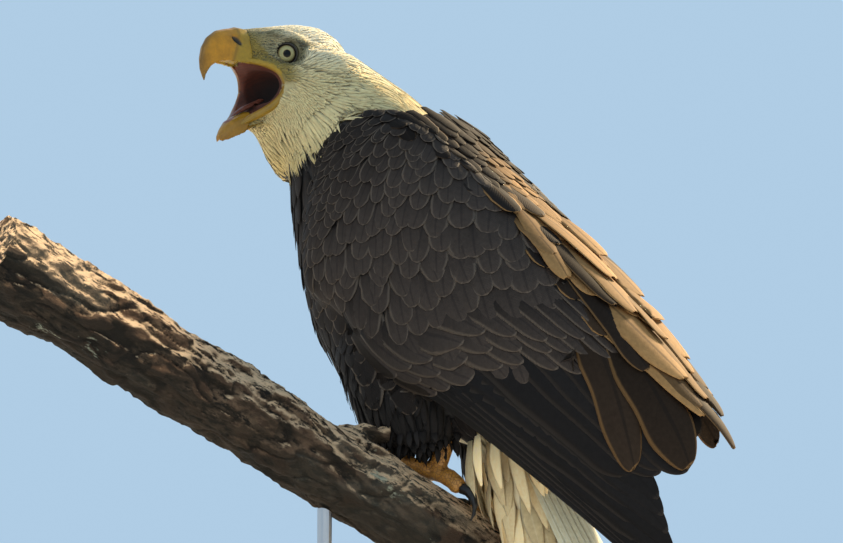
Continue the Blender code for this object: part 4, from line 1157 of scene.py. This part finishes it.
# The trousers of dark feathers round the thighs. They lie loosely down the leg, and a shaggy fringe hangs
# free from their hem over the top of the bare shank.
THIGHS = ("thigh_left", "thigh_right")
thigh_coat = feather_paint(
    "thigh_feathers", rim=((0.024, 0.020, 0.018), 0.4), shaft=((0.018, 0.015, 0.014), 0.4), barbs=100.0,
    roughness=0.75, sheen=0.02
)
roots = scattered(on(*THIGHS), 0.0056, UP, 1.8)
hem = np.array([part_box(thigh)[0].z for thigh in THIGHS])[(roots[:, 0] < 0).astype(int)]
length = varied(0.028, 0.046, roots) * (1 - 0.35 * eased(0.030, 0.0, roots[:, 2] - hem))
top = laid(roots, always(-UP + 0.15 * spine_back), length,
           varied(0.006, 0.009, roots), 7, 5, lambda t: spoon(t, 0.5, 0.45, 1.6, 0.8), 0.0022, 0.0022,
           mess=0.15, hold=0.35, fray=0.20)
dull = np.tile(THIGH_BROWN, (len(roots), 1)) * shades(0.15, len(roots))
low = roots[roots[:, 2] - hem < 0.016]
fringe = hung(low, -UP + 0.10 * spine_back, varied(0.010, 0.020, low), varied(0.005, 0.008, low), 7, 5,
              lambda t: spoon(t, 0.5, 0.40, 1.5, 0.9), 0.002, 0.25)
deep = np.tile(THIGH_BROWN, (len(low), 1)) * shades(0.2, len(low))
# The darker roots are painted shade under the feathers that lie over them.
vane_piece("coat_thighs",
           [(top, dull * 0.8, dull, place_on_map(roots)), (fringe, deep * 0.8, deep, place_on_map(low))],
           thigh_coat)

# The soft white coverts under the tail: a lower layer that lies on the vent and a looser one of broad plumes
# that hangs over it.
on_vent = on("tail_coverts_under") | (on("trunk") & vent & (down_tail(face_middle) > 0.014))
roots = scattered(on_vent, 0.0072, UP, 1.6)
top = laid(roots, always(-UP + 0.30 * spine_back), varied(0.045, 0.075, roots),
           varied(0.009, 0.013, roots), 8, 5, lambda t: spoon(t, 0.5, 0.45, 1.6, 0.8), 0.0020, 0.0020,
           mess=0.10, hold=0.45, fray=0.22)
cream = np.tile((0.80, 0.65, 0.40), (len(roots), 1)) * shades(0.16, len(roots))
low = scattered(on_vent, 0.0105, UP, 1.6)
plumes = hung(low, -UP + 0.34 * spine_back, varied(0.050, 0.080, low), varied(0.011, 0.018, low), 10, 9,
              lambda t: spoon(t, 0.5, 0.42, 1.5, 0.9), 0.004, 0.40, 0.09)
gold = np.tile((0.80, 0.610, 0.330), (len(low), 1)) * shades(0.22, len(low))
# The lower layer's darker roots are painted shade under the feathers over them.
vane_piece("coat_under_tail",
           [(top, cream * 0.9, cream, place_on_map(roots)), (plumes, gold, gold, place_on_map(low))],
           white_coat)

# The flight feathers: eight primaries show low on each wing, with nine secondaries and tertials above them.
# They're stiff dark vanes rooted under the coverts, and each overlies the next one below it.
flight_coat = feather_paint(
    "flight_feathers", rim=((0.040, 0.031, 0.026), 0.45), shaft=((0.008, 0.007, 0.007), 0.8), barbs=420.0,
    roughness=0.55, sheen=0.02, relief=0.06
)
RIGHT_SHORTER = 0.112, 0.048  # the right wing's primaries and secondaries end this much further forward
SECONDARIES = (
    # row of its middle, half width in rows, end, how tan it is
    (0.340, 0.110, 0.412, 0.0), (0.275, 0.125, 0.398, 0.0), (0.400, 0.120, 0.414, 0.0),
    (0.480, 0.140, 0.427, 0.0), (0.600, 0.130, 0.411, 0.0), (0.700, 0.125, 0.402, 0.0),
    (0.790, 0.115, 0.388, 0.1), (0.880, 0.105, 0.395, 0.2), (0.950, 0.080, 0.370, 0.3),
)
for side, sign in SIDES:
    centres = np.linspace(0.020, 0.250, 8)
    ends = read(FEATHER_END, centres) - (RIGHT_SHORTER[0] if sign < 0 else 0.0) - luck.uniform(0, 0.004, 8)
    starts = read(COVERT_END, centres) - 0.020
    primaries = wing_vanes(
        sign, centres, np.linspace(0.045, 0.085, 8), starts, ends, 0.70, 0.0, 26, 7, 0.0012, 0.0008
    )
    colours = np.tile((0.0100, 0.0090, 0.0092), (8, 1)) * luck.uniform(0.85, 1.15, (8, 1))
    lanes = np.stack([np.linspace(0.04, 0.46, 8), np.full(8, 0.5)], -1)
    # The slightly darker roots are painted shade under the coverts.
    feathers = primaries, colours * 0.9, colours, lanes
    piece = vane_piece(f"primaries_{side}", [feathers], flight_coat, STIFF_PATCH)
    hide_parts(f"wing_{side}_primaries")
    centres, half, ends, tan = np.array(sorted(SECONDARIES)).T
    starts = read(COVERT_END, centres) - 0.020
    ends = ends - (RIGHT_SHORTER[1] if sign < 0 else 0.0)
    secondaries = wing_vanes(sign, centres, half, starts, ends, 0.80, 0.0, 26, 9, 0.0018, 0.0010)
    # The upper secondaries' tan is partly worn colour and partly painted sunlight.
    colours = mixed((0.0115, 0.0100, 0.0100), TAN_WORN_AND_SUNLIT, tan) * luck.uniform(0.88, 1.12, (9, 1))
    lanes = np.stack([np.linspace(0.52, 0.96, 9), np.full(9, 0.5)], -1)
    # The slightly darker roots are painted shade under the coverts.
    feathers = secondaries, colours * 0.9, colours, lanes
    piece = vane_piece(f"secondaries_{side}", [feathers], flight_coat, STIFF_PATCH)
    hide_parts(f"wing_{side}_secondaries")

# The twelve tail feathers: a fan of stiff white vanes, arched across, with the middle pair on top. They are
# rooted at the end of the trunk, between the upper and under coverts.
TAIL_SLOPE, TAIL_LENGTH = math.radians(59.0), 0.275
tail_coat = feather_paint(
    "tail_feathers", rim=((0.80, 0.76, 0.62), 0.4), shaft=((0.84, 0.80, 0.66), 0.7), barbs=420.0,
    roughness=0.65, sheen=0.05, relief=0.12
)
tail_back = np.array((0.0, math.cos(TAIL_SLOPE), -math.sin(TAIL_SLOPE)))
tail_up = np.array((0.0, math.sin(TAIL_SLOPE), math.cos(TAIL_SLOPE)))
k = np.arange(12)[:, None, None]
centre = -1 + 2 * (k + 0.5) / 12
t, cross = vane_grid(30, 7)
along = 0.012 + (TAIL_LENGTH - 0.012 - 0.016 * centre**2) * t
shape = spoon(t, 0.8, 0.90, 2.4, 0.5).clip(0.08, 1)
share = (centre + 0.125 * cross * shape).clip(-1.02, 1.02)
half = 0.025 + 0.112 * along
arch = 0.006 - 0.010 * share**2 - 0.020 * along * share**2
over = 0.0016 + 0.0008 * (1 - np.abs(centre)) + 0.0008 * np.sign(centre) * cross + 0.0008 * (1 - cross**2)
rectrices = TAIL_ROOT + (half * share)[..., None] * ASIDE + along[..., None] * tail_back
rectrices = rectrices + (arch + over)[..., None] * tail_up
colours = np.tile(TAIL_CREAM, (12, 1)) * luck.uniform(0.93, 1.05, (12, 1))
lanes = np.stack([np.linspace(0.04, 0.96, 12), np.full(12, 0.5)], -1)
# The slightly darker roots are painted shade under the coverts.
feathers = rectrices, colours * 0.95, colours, lanes
tail = vane_piece("tail_feathers", [feathers], tail_coat, STIFF_PATCH)
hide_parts("tail")

# The eyes: glossy globes with a pale yellow iris, a small pupil and a dark rim, set in naked lids under the
# brow.
EYE_SIZE = 0.0123
EYE_SWING = math.radians(60.0)  # the eyes look this far aside
EYE_ROUND = np.linspace(0, 2 * math.pi, 64, endpoint=False)
LID_ANGLES = 50.5 + np.array((0.0, 0.3, 3.5, 8.0, 15.0, 20.0))  # off the axis of the eye, in degrees
LID_RISE = np.array((-0.0004, 0.0008, 0.0014, 0.0013, 0.0006, -0.0022))  # over the globe
eye_paint, wire = new_material("eyeball", 0.10, Specular_IOR_Level=0.30, IOR=1.38)
off_axis = wire.split(wire.uv("Iris"))["X"]
iris = wire.mix(0.5, (0.36, 0.32, 0.150), wire.noise(wire.place(), 1400.0, 2.0), "OVERLAY")
for start, end, tone in (  # the darker outer iris and inner ring, the pupil, and the rim
    (0.34, 0.42, (0.16, 0.11, 0.045)), (0.20, 0.17, (0.16, 0.10, 0.03)),
    (0.172, 0.160, (0.003, 0.003, 0.003)), (0.43, 0.45, (0.012, 0.009, 0.007)),
):
    iris = wire.mix(wire.span(off_axis, start, end), iris, tone)
wire.give("Base Color", iris)
lid_paint, wire = new_material("lid_skin", 0.55)
grain = wire.noise(wire.place(), 1800.0)
wire.give("Base Color", wire.mix(0.5, wire.stored_colour(), grain, "OVERLAY"))
wire.bump(grain, 0.4, 0.0003)


def ringed(name, rings, looped=False):
    """A smooth closed surface over rings of points, capped at both ends or looped back to the first ring."""
    count, around, _ = rings.shape
    here = np.arange(count * around).reshape(count, around)
    there = np.roll(here, -1, axis=0)
    faces = np.stack([here, np.roll(here, -1, axis=1), np.roll(there, -1, axis=1), there], -1)
    faces = faces[:count if looped else count - 1].reshape(-1, 4).tolist()
    if not looped:
        faces += [here[0, ::-1].tolist(), here[-1].tolist()]
    mesh = bpy.data.meshes.new(name)
    mesh.from_pydata(rings.reshape(-1, 3).tolist(), [], faces)
    shell = bmesh.new()
    shell.from_mesh(mesh)
    bmesh.ops.recalc_face_normals(shell, faces=shell.faces)
    shell.to_mesh(mesh)
    shell.free()
    smooth(mesh)
    return new_object(name, mesh)


def dome(name, middle, axis, angles, reaches, looped=False):
    """A surface round an axis. Each ring has its angles from the axis, and its distance from the middle."""
    aside = unit(np.cross(axis, UP))
    ring = np.cos(EYE_ROUND)[:, None] * aside + np.sin(EYE_ROUND)[:, None] * np.cross(aside, axis)
    a = np.radians(angles)[..., None]
    return ringed(name, middle + reaches[:, None, None] * (np.cos(a) * axis + np.sin(a) * ring), looped)


for (side, sign), place in zip(SIDES, eye_places):
    axis = unit(math.cos(EYE_SWING) * head_front + sign * math.sin(EYE_SWING) * head_left - 0.10 * UP)
    angles = np.concatenate([[1.2], np.linspace(4, 176, 44), [178.8]])
    reaches = EYE_SIZE + 0.0009 * eased(44.0, 20.0, angles)  # the cornea bulges
    globe = dome("eye_globe_" + side, place, axis, angles[:, None], reaches)
    spread = of_points(globe.data) - place
    angle = np.arccos((unit(spread) @ axis).clip(-1, 1)) / math.radians(90)
    corner = np.empty(len(globe.data.loops), dtype=np.int32)
    globe.data.loops.foreach_get("vertex_index", corner)
    uv = np.stack([angle[corner], (spread[:, 2] / EYE_SIZE)[corner]], -1)
    globe.data.uv_layers.new(name="Iris").data.foreach_set("uv", uv.astype(np.float32).ravel())
    globe.data.materials.append(eye_paint)
    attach(globe, "root")
    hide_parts("eye_" + side)

    angles = LID_ANGLES[:, None] - 4.0 * np.sin(EYE_ROUND).clip(0) ** 2  # the brow presses the upper lid down
    lids = dome("lids_" + side, place, axis, angles, EYE_SIZE + LID_RISE, looped=True)
    angle = np.degrees(np.arccos((unit(of_points(lids.data) - place) @ axis).clip(-1, 1)))
    painted(lids.data, mixed((0.020, 0.015, 0.010), LORE_OLIVE, eased(52.5, 58.0, angle)))
    lids.data.materials.append(lid_paint)
    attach(lids, "root")

# The horny yellow bill and the softer cere at its root, with a slot of a nostril on each side. It's the
# solid's own form, softened, with the nostrils and the border of the cere pressed into it.
BILL_YELLOW, CERE_YELLOW, BILL_SHADE = (0.44, 0.195, 0.008), (0.34, 0.205, 0.014), (0.13, 0.070, 0.014)
NOSTRIL = (0.0455, 0.0078)
horn_paint, wire = new_material(
    "bill_horn", 0.34, Coat_Weight=0.10, Coat_Roughness=0.2, Specular_IOR_Level=0.35
)
place = wire.place()
cloud = wire.noise(place, 70.0, 4.0)
streak = wire.noise(place, 420.0, 5.0)
colour = wire.mix(0.45, wire.stored_colour(), cloud, "OVERLAY")
colour = wire.mix(0.25, colour, streak, "OVERLAY")
wire.give("Base Color", colour)
wire.give("Roughness", wire.span(cloud, 0.3, 0.7, 0.28, 0.46))
wire.bump(streak, 0.25, 0.0004)
for node in ("bill_upper", "bill_lower"):
    bill = melted(mesh_copy(node + "_horn", [node]), 0.0009, 4)
    points, normal = of_points(bill.data), of_points(bill.data, "normal")
    ahead, left, up = head_measure(points)
    from_cere = ahead + 0.30 * (up + 0.006)
    colours = mixed(CERE_YELLOW, BILL_YELLOW, eased(0.044, 0.054, from_cere))
    # Painted shade: the horn darkens along the front of the culmen.
    ridge = eased(0.0065, 0.0010, np.abs(left)) * eased(0.058, 0.070, ahead)
    colours = mixed(colours, BILL_SHADE, 0.75 * ridge)
    if node == "bill_upper":
        # Painted shade: a thin dark line along the edge of the cere.
        colours = mixed(colours, BILL_SHADE, 0.35 * eased(0.0022, 0.0006, np.abs(from_cere - 0.049)))
        along = (-0.75 * (ahead - NOSTRIL[0]) - 0.66 * (up - NOSTRIL[1])) / 0.0058
        beside = (0.66 * (ahead - NOSTRIL[0]) - 0.75 * (up - NOSTRIL[1])) / 0.0024
        pit = np.exp(-((along**2 + beside**2) ** 1.5)) * (np.abs(left) > 0.004)
        points = points - normal * (0.0032 * pit)[:, None]
        colours = mixed(colours, (0.015, 0.010, 0.006), eased(0.22, 0.55, pit))
        puff = eased(0.055, 0.049, from_cere) * eased(0.028, 0.036, ahead)
        points = points + normal * (0.0007 * puff)[:, None]
    else:
        under = eased(0.0015, -0.0015, ahead - chin_line(up))
        points = points - normal * (0.0030 * under)[:, None]
        # Painted shade: the lower bill darkens towards its underside, and all of it is a darker copy of the
        # horn.
        colours = mixed(colours, BILL_SHADE, 0.65 * eased(-0.072, -0.086, up + 0.3 * (0.06 - ahead)))
        colours = mixed(colours, (0.27, 0.110, 0.006), 0.7)
    inside = in_mouth(points, -0.0012) & (np.abs(left) < 0.012) & ((ahead < 0.056) | (up < -0.045))
    colours = np.where(inside[:, None], mixed(colours, MOUTH_FLESH, 0.85), colours)
    put_points(bill.data, points)
    painted(bill.data, colours)
    bill.data.materials.append(horn_paint)
    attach(bill, "root")
    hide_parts(node)

# The yellow fleshy edge of the gape: a soft roll of skin on each side, from the cere down round the corner of
# the mouth to the lower bill. Its line is given ahead, aside and up from between the eyes, in millimetres.
GAPE_LINE = (
    (44, 9.5, -9.5), (32, 14, -9.8), (19, 22, -12.5), (9, 28, -19), (4.5, 31.5, -31), (8.5, 30.5, -42),
    (16, 26.5, -51),
    (24, 20.5, -57.5), (33, 14.5, -63.5), (42, 10, -70),
)
GAPE_RADII = 0.0012, 0.0026, 0.0034, 0.0034, 0.0034, 0.0037, 0.0038, 0.0038, 0.0034, 0.0016


def tube(name, line, radii, around=14):
    """A closed round tube along a line of points, eased between them."""
    at = np.linspace(0, len(line) - 1, 8 * (len(line) - 1) + 1)
    number = np.arange(len(line))
    *path, reach = (
        read(np.stack([number, values], -1), at) for values in (*np.array(line).T, np.array(radii))
    )
    path = np.stack(path, -1)
    way = unit(np.gradient(path, axis=0))
    aside = unit(np.cross(way, UP + 0.01))
    over = np.cross(aside, way)
    turn = np.linspace(0, 2 * math.pi, around, endpoint=False)[None, :, None]
    ring = np.cos(turn) * aside[:, None] + np.sin(turn) * over[:, None]
    return ringed(name, path[:, None] + reach[:, None, None] * ring)


for side, sign in SIDES:
    line = [at_head(ahead / 1000, sign * left / 1000, up / 1000) for ahead, left, up in GAPE_LINE]
    gape = tube("gape_" + side, line, GAPE_RADII)
    points, normal = of_points(gape.data), of_points(gape.data, "normal")
    inward = eased(0.0, 0.6, (unit(MOUTH_MIDDLE - points) * normal).sum(-1))
    _, _, up = head_measure(points)
    tone = mixed((0.30, 0.165, 0.014), CERE_YELLOW, eased(-0.045, -0.020, up))
    painted(gape.data, mixed(tone, MOUTH_FLESH, inward * (0.9 if sign < 0 else 0.35)))
    gape.data.materials.append(horn_paint)
    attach(gape, "root")

# The tongue: wet dark red flesh in the floor of the open mouth, rooted in the throat. It's the solid's own
# form, softened.
tongue = melted(mesh_copy("tongue_flesh", ["tongue"]), 0.0008, 5)
wet_paint, wire = new_material("wet_flesh", 0.42, Specular_IOR_Level=0.25)
wire.mottle(180.0, (0.085, 0.022, 0.012), (0.16, 0.050, 0.030), 0.3, 0.0005)
tongue.data.materials.append(wet_paint)
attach(tongue, "root")
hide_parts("tongue")

# The bare yellow shanks and toes, with rows of horny scales, and the black hooked claws that grow out of the
# toes. Both are the solids' own forms, softened where their parts meet.
foot_paint, wire = new_material("foot_scales", 0.42)
place = wire.place()
cells = wire.nodes.new("ShaderNodeTexVoronoi")
cells.feature = "DISTANCE_TO_EDGE"
cells.inputs["Scale"].default_value = 330.0
wire.link(place, cells.inputs["Vector"])
crease = wire.span(cells.outputs["Distance"], 0.0, 0.12)
cloud = wire.noise(place, 90.0)
colour = wire.mix(cloud, (0.42, 0.175, 0.030), (0.56, 0.270, 0.050))
colour = wire.mix(crease, (0.22, 0.095, 0.026), colour)
wire.give("Base Color", colour)
wire.bump(crease, 0.5, 0.0007)
claw_paint, wire = new_material("claw_horn", 0.34, Specular_IOR_Level=0.35)
wire.mottle(240.0, (0.006, 0.0055, 0.005), (0.022, 0.018, 0.015), 0.2, 0.0004)
for side in ("left", "right"):
    foot = melted(mesh_copy("foot_skin_" + side, ["foot_" + side]), 0.0009, 3)
    foot.data.materials.append(foot_paint)
    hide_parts("foot_" + side)
    nails = [f"claw_{side}_{toe}" for toe in ("inner", "middle", "outer", "hind")]
    claws = melted(mesh_copy("claws_" + side, nails), 0.0006, 3)
    claws.data.materials.append(claw_paint)
    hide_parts(*nails)
    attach(foot, "root")
    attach(claws, "root")

# The branch: a cut length of weathered wood, with grey-brown bark in flakes and ridges and a little pale
# lichen. It slopes down from the bird's left, is sawn off at both ends, and rests on the stand's rod.
PERCH_MIDDLE = np.array((0.016, -0.009, 0.242))
PERCH_SLOPE, PERCH_HEADING = math.radians(27.5), math.radians(150.0)


def cloudy(points, scale, of=noise.noise):
    """Soft noise at points."""
    return np.array([of(Vector(p) * scale) for p in points.tolist()])


perch = melted(mesh_copy("perch_bark", ["perch_branch"]), 0.0020, 2)
points, normal = of_points(perch.data), of_points(perch.data, "normal")
perch_way = np.array((
    math.cos(PERCH_HEADING) * math.cos(PERCH_SLOPE), math.sin(PERCH_HEADING) * math.cos(PERCH_SLOPE),
    -math.sin(PERCH_SLOPE),
))
along = (points - PERCH_MIDDLE) @ perch_way
long_grain = points - 0.55 * along[:, None] * perch_way
rough = cloudy(long_grain, 70.0, lambda p: noise.turbulence(p, 4, False))
plates = eased(-0.05, 0.12, cloudy(long_grain + 3.0, 105.0)) - 0.5
knobs = cloudy(points, 14.0)
under_feet = np.exp(-((along / 0.085) ** 4))
fissure = eased(0.08, 0.0, np.abs(cloudy(long_grain + 7.0, 46.0)))
rise = 0.0034 * (rough - 0.60) + 0.0022 * knobs + 0.0015 * plates - 0.0018 * fissure
put_points(perch.data, points + normal * (rise * (1 - 0.85 * under_feet))[:, None])
painted(perch.data, np.stack([fissure, plates + 0.5, rough], -1))
bark_paint, wire = new_material("bark", 0.90, Specular_IOR_Level=0.2)
turned = wire.nodes.new("ShaderNodeMapping")
turned.vector_type = "TEXTURE"
turned.inputs["Rotation"].default_value = Vector(perch_way).to_track_quat("X", "Z").to_euler()
turned.inputs["Scale"].default_value = (2.4, 1.0, 1.0)
wire.link(wire.place(), turned.inputs["Vector"])
place = turned.outputs["Vector"]
broad, fine = wire.noise(place, 34.0, 6.0, 0.65), wire.noise(place, 210.0, 5.0, 0.7)
colour = wire.mix(wire.span(broad, 0.38, 0.60), (0.022, 0.016, 0.011), (0.150, 0.098, 0.060))
colour = wire.mix(wire.span(fine, 0.40, 0.58), (0.010, 0.008, 0.006), colour)
stored = wire.nodes.new("ShaderNodeSeparateColor")
wire.link(wire.stored_colour(), stored.inputs[0])
normal_z = wire.split(wire.nodes.new("ShaderNodeNewGeometry").outputs["Normal"])["Z"]
weathered = wire.span(wire.noise(place, 17.0, 3.0), 0.52, 0.64)
sunlit = wire.sum("MULTIPLY", wire.span(normal_z, 0.10, 0.55), wire.span(fine, 0.41, 0.53))
for share, tone in (
    (wire.span(stored.outputs[1], 0.2, 0.9, 0.0, 0.35), (0.150, 0.085, 0.050)),  # plates
    (wire.span(stored.outputs[0], 0.0, 1.0, 0.0, 0.85), (0.012, 0.009, 0.007)),  # fissures
    (wire.span(weathered, 0.0, 1.0, 0.0, 0.5), (0.085, 0.080, 0.062)),
    (sunlit, (0.66, 0.470, 0.290)),  # painted sunlight: paler on top
    (wire.span(normal_z, 0.05, -0.55, 0.0, 0.75), (0.020, 0.016, 0.011)),  # painted shade: darker below
    (wire.span(wire.noise(place, 15.0, 6.0, 0.7), 0.66, 0.70), (0.36, 0.36, 0.26)),  # lichen
):
    colour = wire.mix(share, colour, tone)
wire.give("Base Color", colour)
wire.bump(wire.sum("ADD", broad, fine), 1.0, 0.0050)
perch.data.materials.append(bark_paint)
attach(perch, "root")
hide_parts("perch_branch")

# The stand: a turned base of oiled wood, and two brushed steel rods that are let into it one over the other
# and carry the branch.
base = mesh_copy("stand_foot", ["stand_base"])
modified(base, "BEVEL", width=0.003, segments=3, limit_method="ANGLE", angle_limit=math.radians(40))
wood_paint, wire = new_material("oiled_wood", 0.45)
place = wire.nodes.new("ShaderNodeMapping")
place.inputs["Scale"].default_value = (1.0, 9.0, 1.0)
wire.link(wire.place(), place.inputs["Vector"])
grain = wire.noise(place.outputs["Vector"], 22.0, 6.0, 0.6)
wire.give("Base Color", wire.mix(wire.span(grain, 0.35, 0.65), (0.10, 0.052, 0.026), (0.20, 0.115, 0.060)))
wire.bump(grain, 0.15, 0.0006)
base.data.materials.append(wood_paint)
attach(base, "root")
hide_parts("stand_base")
steel_paint, wire = new_material("brushed_steel", 0.32, Metallic=1.0)
grain = wire.noise(wire.place(), 700.0)
wire.give("Base Color", wire.mix(grain, (0.50, 0.50, 0.51), (0.56, 0.56, 0.57)))
wire.give("Roughness", wire.span(grain, 0.3, 0.7, 0.31, 0.35))
for label in ("upper", "lower"):
    rod = mesh_copy("stand_post_" + label, ["stand_rod_" + label])
    rod.data.materials.append(steel_paint)
    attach(rod, "root")
    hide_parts("stand_rod_" + label)
